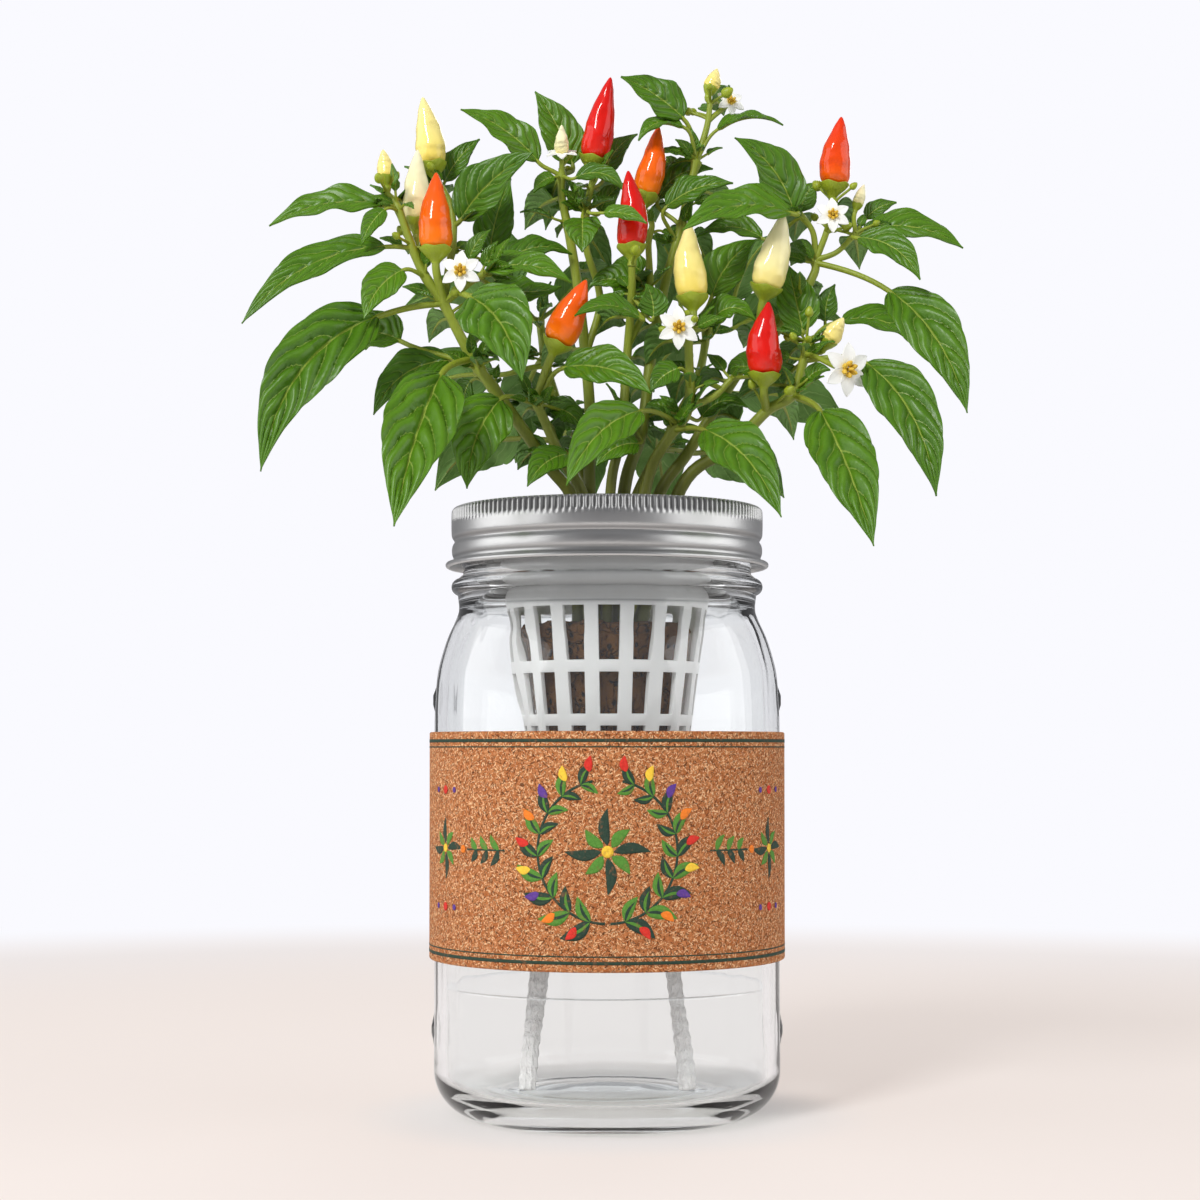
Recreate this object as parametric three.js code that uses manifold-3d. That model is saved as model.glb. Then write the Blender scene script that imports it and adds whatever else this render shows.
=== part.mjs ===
// Hydroponic grow kit: a quart jar with a screw band, a net pot, a grow plug, two wicks and a pepper plant.
// Sizes are in millimetres. The jar stands on z = 0 with its axis on Z, and its front faces -Y.
import * as THREE from "three";
import { mergeVertices } from "three/addons/utils/BufferGeometryUtils.js";
import Module from "manifold-3d";

const wasm = await Module();
wasm.setup();

// The gap left between pieces that rest on or turn against each other.
const FIT = 0.3;

// How far a cut runs past the faces that it opens.
const PAST = 4;

// The glass jar, from its foot to its rim. The neck is set in from the body, and the rim's wall from the neck.
const JAR_HEIGHT = 169.5;
const JAR_RADIUS = 49;
const GLASS_WALL = 3.5;
const GLASS_FLOOR = 7.5;
const HEEL_RADIUS = 13;
const INNER_HEEL = 5.5;
const PUNT_INSET = 20;
const PUNT_RISE = 3;
const SHOULDER_LENGTH = 30;
const NECK_LENGTH = 27.5;
const NECK_INSET = 6.9;
const BEAD_DROP = 20;
const BEAD_RISE = 2.2;
const BEAD_HALF_HEIGHT = 2;
const FINISH_INSET = 1.1;
const FINISH_WALL = 3;
const THREAD_DEPTH = 1.3;
const RIM_ROUNDING = 1;
const MARK_LENGTH = 6;
const MARK_RISE = 0.9;
const MARK_OFFSET = 6;

// The cork sheet glued round the jar below the shoulder, with its ends meeting at the back.
const LABEL_GLUE = 0.4;
const LABEL_DROP = 3.7;
const LABEL_HEIGHT = 63.8;
const LABEL_THICKNESS = 1;
const LABEL_SEAM = 1.2;

// The screw band. Its wall clears the thread on the glass.
const BAND_SHEET = 0.6;
const BAND_SKIRT = 17;
const BAND_ROLL = 1.3;
const BAND_GROOVE = 0.9;
const BAND_GROOVE_DROP = 9.5;
const BAND_RIM = 4;
const BAND_BEND = 1.2;

// The net pot, a tapered basket hung by its flange on the glass rim.
const POT_DEPTH = 80;
const POT_INSET = 7.3;
const POT_FLOOR_RADIUS = 19.9;
const POT_WALL = 1.5;
const POT_FLOOR = 1.8;
const POT_FLANGE = 1.2;
const POT_SPIGOT = 3;
const POT_RING = 26.8;
const SLATS = 18;
const SLAT_WIDTH = 3.6;
const SLAT_TURN = -9;
const WINDOW_ROWS = 3;
const WINDOW_PITCH = 14.6;
const WINDOW_BAR = 3.1;
const WINDOW_FOOT = 8.85;
const FLOOR_SLOTS = 8;
const FLOOR_SLOT_WIDTH = 2.7;
const FLOOR_SLOT_LENGTH = 10.5;
const FLOOR_SLOT_EDGE = 3.5;

// The grow plug and its two wicks.
const PLUG_HEIGHT = 46.1;
const PLUG_GAP = 0.9;
const PLUG_EDGE = 1.5;
const WICK_RADIUS = 2.75;
const WICK_SPACING = 24.6;
const WICK_SPREAD = 44;
const WICK_LEAN = 18;
const WICK_GRIP = 26;

// The pepper plant.
const LEAF_THICKNESS = 0.9;
const LEAF_FOLD = 16;
const STALK_RADIUS = 0.7;
const PEDICEL_RADIUS = 1;
const JOINT_LENGTH = 2.4;
const CALYX_LENGTH = 3.5;
const PETALS = 6;
const PETAL_THICKNESS = 0.8;

// Sizes that follow from the ones above.
const NECK_RADIUS = JAR_RADIUS - NECK_INSET;
const FINISH_RADIUS = NECK_RADIUS - FINISH_INSET;
const MOUTH_RADIUS = FINISH_RADIUS - FINISH_WALL;
const NECK_FOOT = JAR_HEIGHT - NECK_LENGTH;
const SHOULDER_FOOT = NECK_FOOT - SHOULDER_LENGTH;
const BAND_BORE = FINISH_RADIUS + THREAD_DEPTH + BAND_GROOVE + FIT;
const BAND_RADIUS = BAND_BORE + BAND_SHEET;
const FLANGE_SEAT = JAR_HEIGHT + FIT;
const BAND_LIFT = POT_FLANGE + FIT + BAND_SHEET;
const POT_MOUTH_RADIUS = MOUTH_RADIUS - POT_INSET;
const PLUG_BOTTOM = POT_FLOOR + FIT - POT_DEPTH;
const PLUG_TOP = PLUG_BOTTOM + PLUG_HEIGHT;

const radians = THREE.MathUtils.degToRad;
const vector = ([x, y, z]) => new THREE.Vector3(x, y, z);
const UP = new THREE.Vector3(0, 0, 1);

const finish = (color, roughness, metalness = 0) =>
  new THREE.MeshStandardMaterial({ color, roughness, metalness });
const FINISHES = {
  glass: finish(0xe6eeee, 0.05),
  cork: finish(0xc8875a, 0.9),
  tin: finish(0xb4b4b2, 0.35, 1),
  white: finish(0xf2f2f0, 0.45),
  coir: finish(0x6e5546, 0.95),
  cotton: finish(0xf0ece4, 0.95),
  foliage: finish(0x4f8230, 0.55),
  petal: finish(0xf7f5ea, 0.6),
  red: finish(0xd4130a, 0.2),
  orange: finish(0xf97306, 0.2),
  yellow: finish(0xf3d36b, 0.25),
  cream: finish(0xf2e8b6, 0.3),
};

// A welded solid from a geometry, with the triangles that closed up on an axis left out.
function solid(geometry) {
  const bare = new THREE.BufferGeometry();
  bare.setAttribute("position", geometry.getAttribute("position"));
  bare.setIndex(geometry.getIndex());
  const welded = mergeVertices(bare, 1e-4);
  const index = welded.getIndex().array;
  const corners = [];
  for (let i = 0; i < index.length; i += 3) {
    const [a, b, c] = index.slice(i, i + 3);
    if (a !== b && b !== c && c !== a) corners.push(a, b, c);
  }
  return new wasm.Manifold(new wasm.Mesh({
    numProp: 3,
    vertProperties: Float32Array.from(welded.getAttribute("position").array),
    triVerts: Uint32Array.from(corners),
  }));
}

const joined = (bodies) => bodies.reduce((whole, body) => whole.add(body));

// A named mesh from a finished solid.
function piece(name, body, material) {
  const { vertProperties, triVerts } = body.getMesh();
  const geometry = new THREE.BufferGeometry();
  geometry.setAttribute("position", new THREE.Float32BufferAttribute(vertProperties, 3));
  geometry.setIndex(Array.from(triVerts));
  geometry.computeVertexNormals();
  const mesh = new THREE.Mesh(geometry, material);
  mesh.name = name;
  return mesh;
}

// A profile of [radius, height] points, going up the outside, turned about Z.
function turned(profile, segments) {
  const points = profile.map(([radius, height]) => new THREE.Vector2(radius, height));
  return new THREE.LatheGeometry(points, segments).rotateX(Math.PI / 2);
}

// A block that faces outwards at an angle from the front, for cutting.
function block(width, depth, height, radius, angle, z) {
  const box = new THREE.BoxGeometry(width, depth, height);
  box.translate(0, -radius, z);
  box.rotateZ(radians(angle));
  return solid(box);
}

// A round hole for a wick, on its side of the axis.
function wickHole(side, foot, height) {
  const round = new THREE.CylinderGeometry(WICK_RADIUS + FIT, WICK_RADIUS + FIT, height, 12);
  round.rotateX(Math.PI / 2);
  round.translate((side * WICK_SPACING) / 2, 0, foot + height / 2);
  return solid(round);
}

// A skin over sections that each run anticlockwise seen from the far end. A section of one point is a tip.
function loft(sections) {
  const positions = [];
  const index = [];
  const starts = sections.map((section) => {
    const start = positions.length / 3;
    section.forEach((point) => positions.push(point.x, point.y, point.z));
    return start;
  });
  const sides = Math.max(...sections.map((section) => section.length));
  for (let s = 0; s + 1 < sections.length; s += 1) {
    const at = (row, k) => starts[row] + (k % sections[row].length);
    for (let k = 0; k < sides; k += 1) {
      index.push(at(s, k), at(s, k + 1), at(s + 1, k + 1));
      index.push(at(s, k), at(s + 1, k + 1), at(s + 1, k));
    }
  }
  const last = starts[starts.length - 1];
  for (let k = 1; k + 1 < sides; k += 1) {
    if (sections[0].length > 1) index.push(0, k + 1, k);
    if (sections[sections.length - 1].length > 1) index.push(last, last + k, last + k + 1);
  }
  const geometry = new THREE.BufferGeometry();
  geometry.setAttribute("position", new THREE.Float32BufferAttribute(positions, 3));
  geometry.setIndex(index);
  return solid(geometry);
}

// Round sections along points, tapering from one radius to the other.
function rings(points, startRadius, endRadius, sides) {
  return points.map((point, i) => {
    const before = points[Math.max(i - 1, 0)];
    const after = points[Math.min(i + 1, points.length - 1)];
    const run = after.clone().sub(before).normalize();
    const side = new THREE.Vector3(0, 1, 0).cross(run).normalize();
    const over = run.clone().cross(side);
    const radius = THREE.MathUtils.lerp(startRadius, endRadius, i / (points.length - 1));
    return Array.from({ length: sides }, (_, k) => {
      const angle = (2 * Math.PI * k) / sides;
      return point.clone()
        .addScaledVector(side, radius * Math.cos(angle))
        .addScaledVector(over, radius * Math.sin(angle));
    });
  });
}

// A quarter round of a given radius as [outwards, upwards] steps from its foot.
function quarter(radius, steps) {
  return Array.from({ length: steps + 1 }, (_, i) => {
    const angle = (Math.PI / 2) * (i / steps);
    return [radius * Math.sin(angle), radius * (1 - Math.cos(angle))];
  });
}

function glassJar() {
  const puntRadius = JAR_RADIUS - PUNT_INSET;
  const bead = JAR_HEIGHT - BEAD_DROP;
  const inside = JAR_RADIUS - GLASS_WALL;
  // The shoulder as shares of its length and of how far it draws in.
  const shoulder = [[0, 0], [0.4, 0.1], [0.64, 0.33], [0.84, 0.67], [1, 1]];
  const shoulderAt = (wall, [up, draw]) => [wall - NECK_INSET * draw, SHOULDER_FOOT + SHOULDER_LENGTH * up];
  const punt = [[0, PUNT_RISE], [puntRadius - 2 * PUNT_RISE, PUNT_RISE], [puntRadius, 0]];
  const outer = [
    ...quarter(HEEL_RADIUS, 5).map(([out, up]) => [JAR_RADIUS - HEEL_RADIUS + out, up]),
    ...shoulder.map((step) => shoulderAt(JAR_RADIUS, step)),
    [NECK_RADIUS, bead - BEAD_HALF_HEIGHT],
    [NECK_RADIUS + BEAD_RISE, bead - BEAD_HALF_HEIGHT / 3],
    [NECK_RADIUS + BEAD_RISE, bead + BEAD_HALF_HEIGHT / 3],
    [NECK_RADIUS, bead + BEAD_HALF_HEIGHT],
    [FINISH_RADIUS, bead + 2 * BEAD_HALF_HEIGHT],
    [FINISH_RADIUS, JAR_HEIGHT - RIM_ROUNDING],
    [FINISH_RADIUS - RIM_ROUNDING, JAR_HEIGHT],
  ];
  const inner = [
    [MOUTH_RADIUS + RIM_ROUNDING, JAR_HEIGHT],
    [MOUTH_RADIUS, JAR_HEIGHT - RIM_ROUNDING],
    [MOUTH_RADIUS, bead],
    [NECK_RADIUS - GLASS_WALL, NECK_FOOT],
    ...shoulder.slice(0, -1).reverse().map((step) => shoulderAt(inside, step)),
    ...quarter(INNER_HEEL, 3).reverse().map(([out, up]) => [inside - INNER_HEEL + out, GLASS_FLOOR + up]),
    [0, GLASS_FLOOR],
  ];
  const marks = [];
  for (const height of [HEEL_RADIUS + 2 * MARK_OFFSET, SHOULDER_FOOT + MARK_OFFSET]) {
    for (const side of [-1, 1]) {
      const mark = new THREE.SphereGeometry(1, 6, 4);
      mark.scale(2 * MARK_RISE, MARK_LENGTH / 4, MARK_LENGTH / 2);
      mark.translate(side * (JAR_RADIUS - MARK_RISE), 0, height);
      marks.push(solid(mark));
    }
  }
  const body = solid(turned([...punt, ...outer, ...inner], 28));
  return piece("glass_jar", joined([body, ...marks]), FINISHES.glass);
}

function corkLabel() {
  const inside = JAR_RADIUS + LABEL_GLUE;
  const outside = inside + LABEL_THICKNESS;
  const top = SHOULDER_FOOT - LABEL_DROP;
  const bottom = top - LABEL_HEIGHT;
  const corners = [[outside, bottom], [outside, top], [inside, top], [inside, bottom]];
  const sheet = solid(turned([...corners, corners[0]], 40));
  const reach = LABEL_THICKNESS + 2 * PAST;
  const seam = block(LABEL_SEAM, reach, LABEL_HEIGHT + 2 * PAST, outside, 180, (top + bottom) / 2);
  return piece("cork_label", sheet.subtract(seam), FINISHES.cork);
}

// The band hangs down from the level of its top.
function screwBand() {
  const bottom = -BAND_SKIRT;
  const rollTop = bottom + 2 * BAND_ROLL;
  const rollRadius = BAND_RADIUS + BAND_ROLL;
  const groove = -BAND_GROOVE_DROP;
  const rimRadius = BAND_RADIUS + BAND_SHEET / 3;
  const bore = [
    [BAND_BORE - BAND_SHEET, -BAND_SHEET],
    [BAND_BORE, -BAND_SHEET - BAND_BEND],
    [BAND_BORE, groove + BAND_BEND],
    [BAND_BORE - BAND_GROOVE, groove],
    [BAND_BORE, groove - BAND_BEND],
  ];
  const profile = [
    [BAND_BORE, bottom + BAND_ROLL / 2],
    [BAND_RADIUS, bottom],
    [rollRadius, bottom + BAND_ROLL / 2],
    [rollRadius, rollTop - BAND_ROLL / 2],
    [BAND_RADIUS, rollTop],
    [BAND_RADIUS - BAND_SHEET / 2, rollTop + BAND_BEND],
    [BAND_RADIUS, rollTop + 2 * BAND_BEND],
    [BAND_RADIUS, groove - BAND_BEND],
    [BAND_RADIUS - BAND_GROOVE, groove],
    [BAND_RADIUS, groove + BAND_BEND],
    [BAND_RADIUS, -BAND_RIM],
    [rimRadius, -BAND_RIM + BAND_SHEET],
    [rimRadius, -BAND_BEND],
    [rimRadius - BAND_BEND, 0],
    [MOUTH_RADIUS, 0],
    [MOUTH_RADIUS, -BAND_SHEET],
    ...bore,
  ];
  return piece("screw_band", solid(turned([...profile, profile[0]], 28)), FINISHES.tin);
}

// The basket's outer radius at a height from its flange.
function potRadius(z) {
  return THREE.MathUtils.mapLinear(z, -POT_DEPTH, 0, POT_FLOOR_RADIUS, POT_MOUTH_RADIUS);
}

// A window between two slats. It widens upwards with the basket, so the slats keep their width.
function potWindow(foot, top, angle) {
  const half = (z) => (Math.PI * (potRadius(z) - POT_WALL / 2)) / SLATS - SLAT_WIDTH / 2;
  const corners = [[-half(foot), foot], [half(foot), foot], [half(top), top], [-half(top), top]];
  const inside = potRadius(foot) - POT_WALL - PAST;
  const depth = potRadius(top) + PAST - inside;
  const shape = new THREE.Shape(corners.map(([x, z]) => new THREE.Vector2(x, z)));
  const cut = new THREE.ExtrudeGeometry(shape, { depth, bevelEnabled: false });
  cut.rotateX(Math.PI / 2);
  cut.translate(0, -inside, 0);
  cut.rotateZ(radians(angle));
  return solid(cut);
}

function netPot() {
  const flangeRadius = FINISH_RADIUS - FIT;
  const spigotRadius = MOUTH_RADIUS - 2 * FIT;
  const floorTop = POT_FLOOR - POT_DEPTH;
  const shell = solid(turned([
    [0, -POT_DEPTH],
    [POT_FLOOR_RADIUS, -POT_DEPTH],
    [POT_MOUTH_RADIUS, 0],
    [spigotRadius - POT_WALL, 0],
    [spigotRadius - POT_WALL, -POT_SPIGOT],
    [spigotRadius, -POT_SPIGOT],
    [spigotRadius, 0],
    [flangeRadius, 0],
    [flangeRadius, POT_FLANGE],
    [potRadius(POT_FLANGE) - POT_WALL, POT_FLANGE],
    [potRadius(floorTop) - POT_WALL, floorTop],
    [0, floorTop],
  ], 28));
  const cuts = [];
  for (let row = 0; row < WINDOW_ROWS; row += 1) {
    const foot = WINDOW_FOOT + row * WINDOW_PITCH - POT_DEPTH;
    const top = row === WINDOW_ROWS - 1 ? -POT_RING : foot + WINDOW_PITCH - WINDOW_BAR;
    for (let slat = 0; slat < SLATS; slat += 1) {
      cuts.push(potWindow(foot, top, SLAT_TURN + (slat + 0.5) * (360 / SLATS)));
    }
  }
  const slotRadius = POT_FLOOR_RADIUS - FLOOR_SLOT_EDGE - FLOOR_SLOT_LENGTH / 2;
  const slotHeight = POT_FLOOR + 2 * PAST;
  for (let slot = 0; slot < FLOOR_SLOTS; slot += 1) {
    const angle = (slot + 0.5) * (360 / FLOOR_SLOTS);
    cuts.push(block(FLOOR_SLOT_WIDTH, FLOOR_SLOT_LENGTH, slotHeight, slotRadius, angle, -POT_DEPTH));
  }
  for (const side of [-1, 1]) cuts.push(wickHole(side, -POT_DEPTH - PAST, slotHeight));
  return piece("net_pot", shell.subtract(joined(cuts)), FINISHES.white);
}

function growPlug() {
  const radius = (z) => potRadius(z) - POT_WALL - PLUG_GAP;
  const body = solid(turned([
    [0, PLUG_BOTTOM],
    [radius(PLUG_BOTTOM) - PLUG_EDGE, PLUG_BOTTOM],
    [radius(PLUG_BOTTOM + PLUG_EDGE), PLUG_BOTTOM + PLUG_EDGE],
    [radius(PLUG_TOP - PLUG_EDGE), PLUG_TOP - PLUG_EDGE],
    [radius(PLUG_TOP) - PLUG_EDGE, PLUG_TOP],
    [0, PLUG_TOP],
  ], 24));
  const depth = WICK_GRIP + FIT + PLUG_EDGE;
  const holes = [-1, 1].map((side) => wickHole(side, PLUG_BOTTOM - PLUG_EDGE, depth));
  return piece("grow_plug", body.subtract(joined(holes)), FINISHES.coir);
}

// A wick runs from its hole in the plug down to the glass floor, spreading and leaning to the front.
function wick(name, side) {
  const near = (side * WICK_SPACING) / 2;
  const spread = (side * (WICK_SPREAD - WICK_SPACING)) / 2;
  const floor = GLASS_FLOOR + FIT - FLANGE_SEAT;
  const drop = -POT_DEPTH - floor;
  const route = [
    [near, 0, PLUG_BOTTOM + WICK_GRIP],
    [near, 0, PLUG_BOTTOM],
    [near, 0, -POT_DEPTH - POT_FLOOR],
    [near + 0.25 * spread, -0.08 * WICK_LEAN, floor + 0.75 * drop],
    [near + 0.6 * spread, -0.4 * WICK_LEAN, floor + 0.45 * drop],
    [near + 0.88 * spread, -0.8 * WICK_LEAN, floor + 0.18 * drop],
    [near + spread, -WICK_LEAN, floor + WICK_RADIUS / 5],
  ];
  const corners = Array.from({ length: 8 }, (_, k) => {
    const angle = (Math.PI * k) / 4;
    return new THREE.Vector2(WICK_RADIUS * Math.cos(angle), WICK_RADIUS * Math.sin(angle));
  });
  const tube = new THREE.ExtrudeGeometry(new THREE.Shape(corners), {
    steps: 9,
    bevelEnabled: false,
    extrudePath: new THREE.CatmullRomCurve3(route.map(vector)),
  });
  return piece(name, solid(tube), FINISHES.cotton);
}

// The plant is laid out from the middle of the band's top: x, depth and height. Stems stand on the plug.
const ROOT = PLUG_TOP + FIT - BAND_LIFT;

// Each stem has its radii and the points it runs through; later stems of a branch grow out of earlier ones.
// A leaf: the stem and how far along it the stalk starts, where the blade starts, its tip, how far its
// midrib bows up, its width, and how far its face turns from up (0) towards the front (90) or back (-90).
// A pepper: stem, how far along, its base, its tip, its radius and its colour.
// A flower: stem, how far along, its middle, where it faces, its radius and the length of its middle.
const BRANCHES = {
  left: {
    stems: [
      { radii: [2, 1.4], points: [[-8, 1, ROOT], [-9, 2, 0], [-17, 0, 13], [-30, -4, 31], [-38, -7, 42],
        [-46, -11, 57]] },
      { radii: [1.4, 0.9], points: [[-46, -11, 57], [-52, -12, 66], [-56, -13, 76], [-59, -13, 84],
        [-62, -13, 88]] },
      { radii: [1.2, 0.9], points: [[-46, -11, 57], [-45, -4, 69], [-44, 0, 77], [-45, 2, 88],
        [-49, 2, 95]] },
      { radii: [1.1, 0.8], points: [[-46, -11, 57], [-40, -11, 62], [-34, -10, 66]] },
    ],
    leaves: [
      [1, 0.75, [-63, -14, 84], [-94, -20, 77], 3, 13, 45],
      [1, 0.4, [-62, -16, 72], [-100, -30, 48], 5, 13, 50],
      [1, 0.2, [-57, -18, 65], [-67, -26, 50], 2, 11, 65],
      [0, 1, [-64, -18, 52], [-93, -42, 6], 8, 20, 75],
      [0, 0.65, [-39, 2, 37], [-41, 4, 31], 1, 7, 60],
      [0, 0.75, [-59, -2, 48], [-77, 4, 47], 3, 15, 60],
      [1, 0.7, [-62, -18, 82], [-68, -23, 71], 1, 6, 65],
      [0, 0.8, [-46, -22, 35], [-56, -56, -10], 3, 21, 85],
      [0, 0.75, [-45, -4, 42], [-66, -8, 26], 4, 13, 60],
      [3, 0.3, [-38, -20, 57], [-23, -38, 31], 4, 20, 75],
      [2, 0.6, [-42, 0, 83], [-21, -6, 101], 2, 16, 60],
      [2, 0.4, [-34, 8, 75], [-28, 12, 98], 1, 12, 55],
      [2, 0.9, [-47, 8, 96], [-37, 10, 109], 1, 8, 60],
      [3, 1, [-34, -12, 66], [-10, -15, 62], 3, 12, 45],
      [3, 0.9, [-29, 0, 71], [-10, 4, 74], 3, 10, 45],
      [3, 0.8, [-33, -2, 64], [-13, 0, 64], -2, 11, 50],
      [3, 0.5, [-39, -8, 70], [-33, -6, 79], 1, 5, 70],
    ],
    peppers: [
      [2, 1, [-50, 2, 99], [-53, 3, 119], 4.3, "yellow"],
      [1, 0.35, [-54, -6, 81], [-54, -4, 102], 4, "cream"],
      [0, 1, [-48, -15, 71], [-48, -14, 93], 4.8, "orange"],
      [1, 1, [-62, -13, 92], [-63, -13, 100], 2.5, "yellow"],
    ],
    flowers: [
      [3, 0.6, [-41, -17, 65], [0, -1, 0.1], 6, 2.5],
    ],
  },
  inner: {
    stems: [
      { radii: [1.8, 1.2], points: [[-5, -4, ROOT], [-6, -6, 0], [-13, -7, 14], [-18, -9, 25],
        [-20, -10, 29]] },
    ],
    leaves: [
      [0, 1, [-30, -10, 30], [-39, -18, 4], 3, 17, 80],
      [0, 0.95, [-12, -16, 38], [12, -28, 29], 3, 14, 60],
      [0, 0.9, [-17, 0, 29], [-7, 2, 23], 2, 9, 60],
      [0, 0.5, [-11, -14, 14], [-22, -24, 4], 2, 10, 60],
    ],
    peppers: [
      [0, 1, [-14, -15, 45], [-6, -18, 62], 4.9, "orange"],
    ],
    flowers: [],
  },
  centre: {
    stems: [
      { radii: [1.9, 1], points: [[-3, 4, ROOT], [-5, 5, 6], [-5, 8, 31], [-8, 8, 62], [-11, 7, 81],
        [-13, 6, 91], [-13, 4, 99]] },
      { radii: [1.2, 0.9], points: [[-6, 8, 46], [-2, 10, 62], [-6, 9, 77], [-6, 8, 87], [-4, 6, 97]] },
    ],
    leaves: [
      [0, 0.95, [-20, 4, 101], [-42, 0, 115], 2, 12, 55],
      [0, 0.95, [-10, 12, 102], [-21, 14, 124], 1, 13, 60],
      [0, 0.95, [-9, -1, 95], [5, -6, 90], 3, 7, 55],
      [1, 0.8, [-7, -2, 83], [-7, -9, 72], 1, 11, 70],
      [0, 0.7, [-16, 5, 85], [-25, 3, 86], 1, 4, 20],
      [1, 0.9, [-1, 12, 98], [9, 16, 112], 2, 8, 55],
      [1, 0.75, [-2, 12, 88], [5, 14, 97], 1, 7, 55],
      [1, 0.75, [-1, -14, 82], [11, -19, 78], 1, 6, 55],
      [0, 0.93, [-15, 2, 96], [-21, 0, 91], 1, 5, 60],
    ],
    peppers: [
      [1, 1, [-4, 6, 102], [1, 4, 125], 4.5, "red"],
    ],
    flowers: [
      [0, 1, [-13, 3, 103], [0, -0.4, 0.9], 5, 8],
    ],
  },
  middle: {
    stems: [
      { radii: [1.6, 1], points: [[0, -2, ROOT], [1, -3, 5], [4, -2, 21], [6, 0, 47], [7, -6, 60],
        [7, -9, 68]] },
      { radii: [1.1, 0.8], points: [[6, 0, 47], [12, 2, 61], [12, 4, 77], [13, 5, 83], [11, 6, 86]] },
    ],
    leaves: [
      [0, 0.75, [9, -16, 52], [-9, -25, 51], 3, 9, 45],
      [1, 0.3, [8, 1, 62], [-5, 0, 64], 3, 12, 55],
      [0, 0.8, [13, -12, 53], [11, -14, 62], 1, 9, 70],
      [1, 0.6, [10, 6, 69], [1, 9, 71], 2, 9, 50],
      [0, 0.45, [9, -6, 18], [-3, -12, 11], 2, 10, 60],
    ],
    peppers: [
      [0, 1, [7, -9, 73], [6, -8, 95], 4.4, "red"],
      [1, 1, [11, 6, 91], [15, 8, 112], 4.1, "orange"],
    ],
    flowers: [],
  },
  tall: {
    stems: [
      { radii: [2, 1.1], points: [[2, 4, ROOT], [5, 4, 6], [10, 6, 23], [13, 8, 47], [17, 8, 67], [21, 8, 81],
        [26, 8, 102]] },
      { radii: [1, 0.8], points: [[26, 8, 102], [29, 8, 112], [30, 8, 119]] },
    ],
    leaves: [
      [0, 1, [22, 6, 114], [4, 2, 125], 1, 13, 60],
      [0, 1, [22, 4, 111], [9, 0, 106], 3, 8, 35],
      [0, 1, [32, 7, 111], [51, 6, 112], 3, 8, 25],
      [0, 0.8, [17, 1, 87], [36, -3, 93], 2, 10, 55],
      [0, 0.85, [15, 12, 92], [31, 13, 101], 3, 11, 55],
      [0, 0.9, [20, 15, 100], [15, 17, 105], 1, 6, 60],
    ],
    peppers: [
      [1, 1, [30, 8, 123], [32, 8, 129], 2.3, "yellow"],
    ],
    flowers: [
      [1, 0.6, [36, 10, 120], [0.3, -0.9, 0.3], 4.5, 2],
    ],
  },
  front: {
    stems: [
      { radii: [1.9, 1], points: [[5, -4, ROOT], [11, -4, 6], [17, -8, 19], [23, -10, 28], [23, -11, 45],
        [24, -12, 51]] },
      { radii: [1.2, 0.8], points: [[23, -10, 28], [30, -9, 31], [35, -8, 36]] },
    ],
    leaves: [
      [0, 0.5, [9, -22, 25], [-11, -44, 2], 4, 14, 70],
      [0, 0.45, [27, -20, 20], [46, -50, -7], 4, 16, 75],
      [0, 0.55, [27, -3, 26], [40, -2, 29], 3, 9, 45],
      [0, 0.65, [20, -15, 38], [12, -19, 31], 1, 8, 70],
      [0, 0.9, [29, -6, 52], [42, -7, 53], 4, 10, 50],
      [0, 0.95, [30, 0, 61], [43, 2, 78], 2, 13, 65],
      [1, 1, [43, -2, 39], [34, -3, 38], 2, 9, 60],
    ],
    peppers: [
      [0, 1, [24, -12, 58], [23, -10, 80], 4.7, "yellow"],
    ],
    flowers: [
      [0, 0.85, [20, -18, 49], [0, -1, 0], 6.3, 2.5],
    ],
  },
  right: {
    stems: [
      { radii: [2, 1.1], points: [[9, 0, ROOT], [21, 0, 6], [35, -4, 17], [45, -8, 27], [52, -11, 31],
        [55, -12, 40], [56, -12, 46]] },
    ],
    leaves: [
      [0, 0.67, [59, -22, 25], [70, -54, -15], 2, 18, 80],
      [0, 0.85, [72, -18, 39], [89, -36, 0], 5, 17, 65],
      [0, 0.95, [67, 0, 54], [91, 0, 45], 4, 11, 45],
      [0, 1, [63, 6, 55], [66, 7, 66], 1, 7, 65],
      [0, 0.7, [56, -15, 35], [62, -19, 37], 1, 6, 60],
    ],
    peppers: [
      [0, 0.5, [44, -15, 36], [45, -17, 56], 4.9, "red"],
      [0, 1, [62, -13, 46], [66, -16, 52], 2.8, "yellow"],
    ],
    flowers: [
      [0, 0.9, [66, -26, 36], [0.4, -0.85, -0.1], 7.5, 2.5],
    ],
  },
  upper: {
    stems: [
      { radii: [1.9, 1.1], points: [[8, 7, ROOT], [14, 6, 2], [24, 6, 18], [40, 4, 43], [51, 3, 54],
        [59, 2, 67], [60, 2, 72]] },
      { radii: [1, 0.7], points: [[60, 2, 72], [59, 1, 80], [55, 0, 85]] },
      { radii: [1, 0.9], points: [[60, 2, 72], [63, 1, 80], [65, 0, 88]] },
      { radii: [0.9, 0.7], points: [[60, 2, 72], [66, 0, 74], [71, -1, 79]] },
    ],
    leaves: [
      [1, 1, [53, -4, 85], [36, -11, 104], 3, 14, 65],
      [1, 0.8, [56, 7, 87], [61, 9, 96], 1, 8, 60],
      [1, 1, [52, -9, 83], [21, -19, 76], 4, 15, 50],
      [1, 0.9, [45, 10, 80], [26, 13, 81], 3, 9, 45],
      [3, 0.9, [71, -9, 76], [87, -20, 62], 3, 11, 60],
      [3, 1, [75, 3, 81], [102, 0, 75], 3, 12, 50],
      [3, 1, [75, 7, 85], [84, 8, 90], 1, 6, 60],
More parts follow.
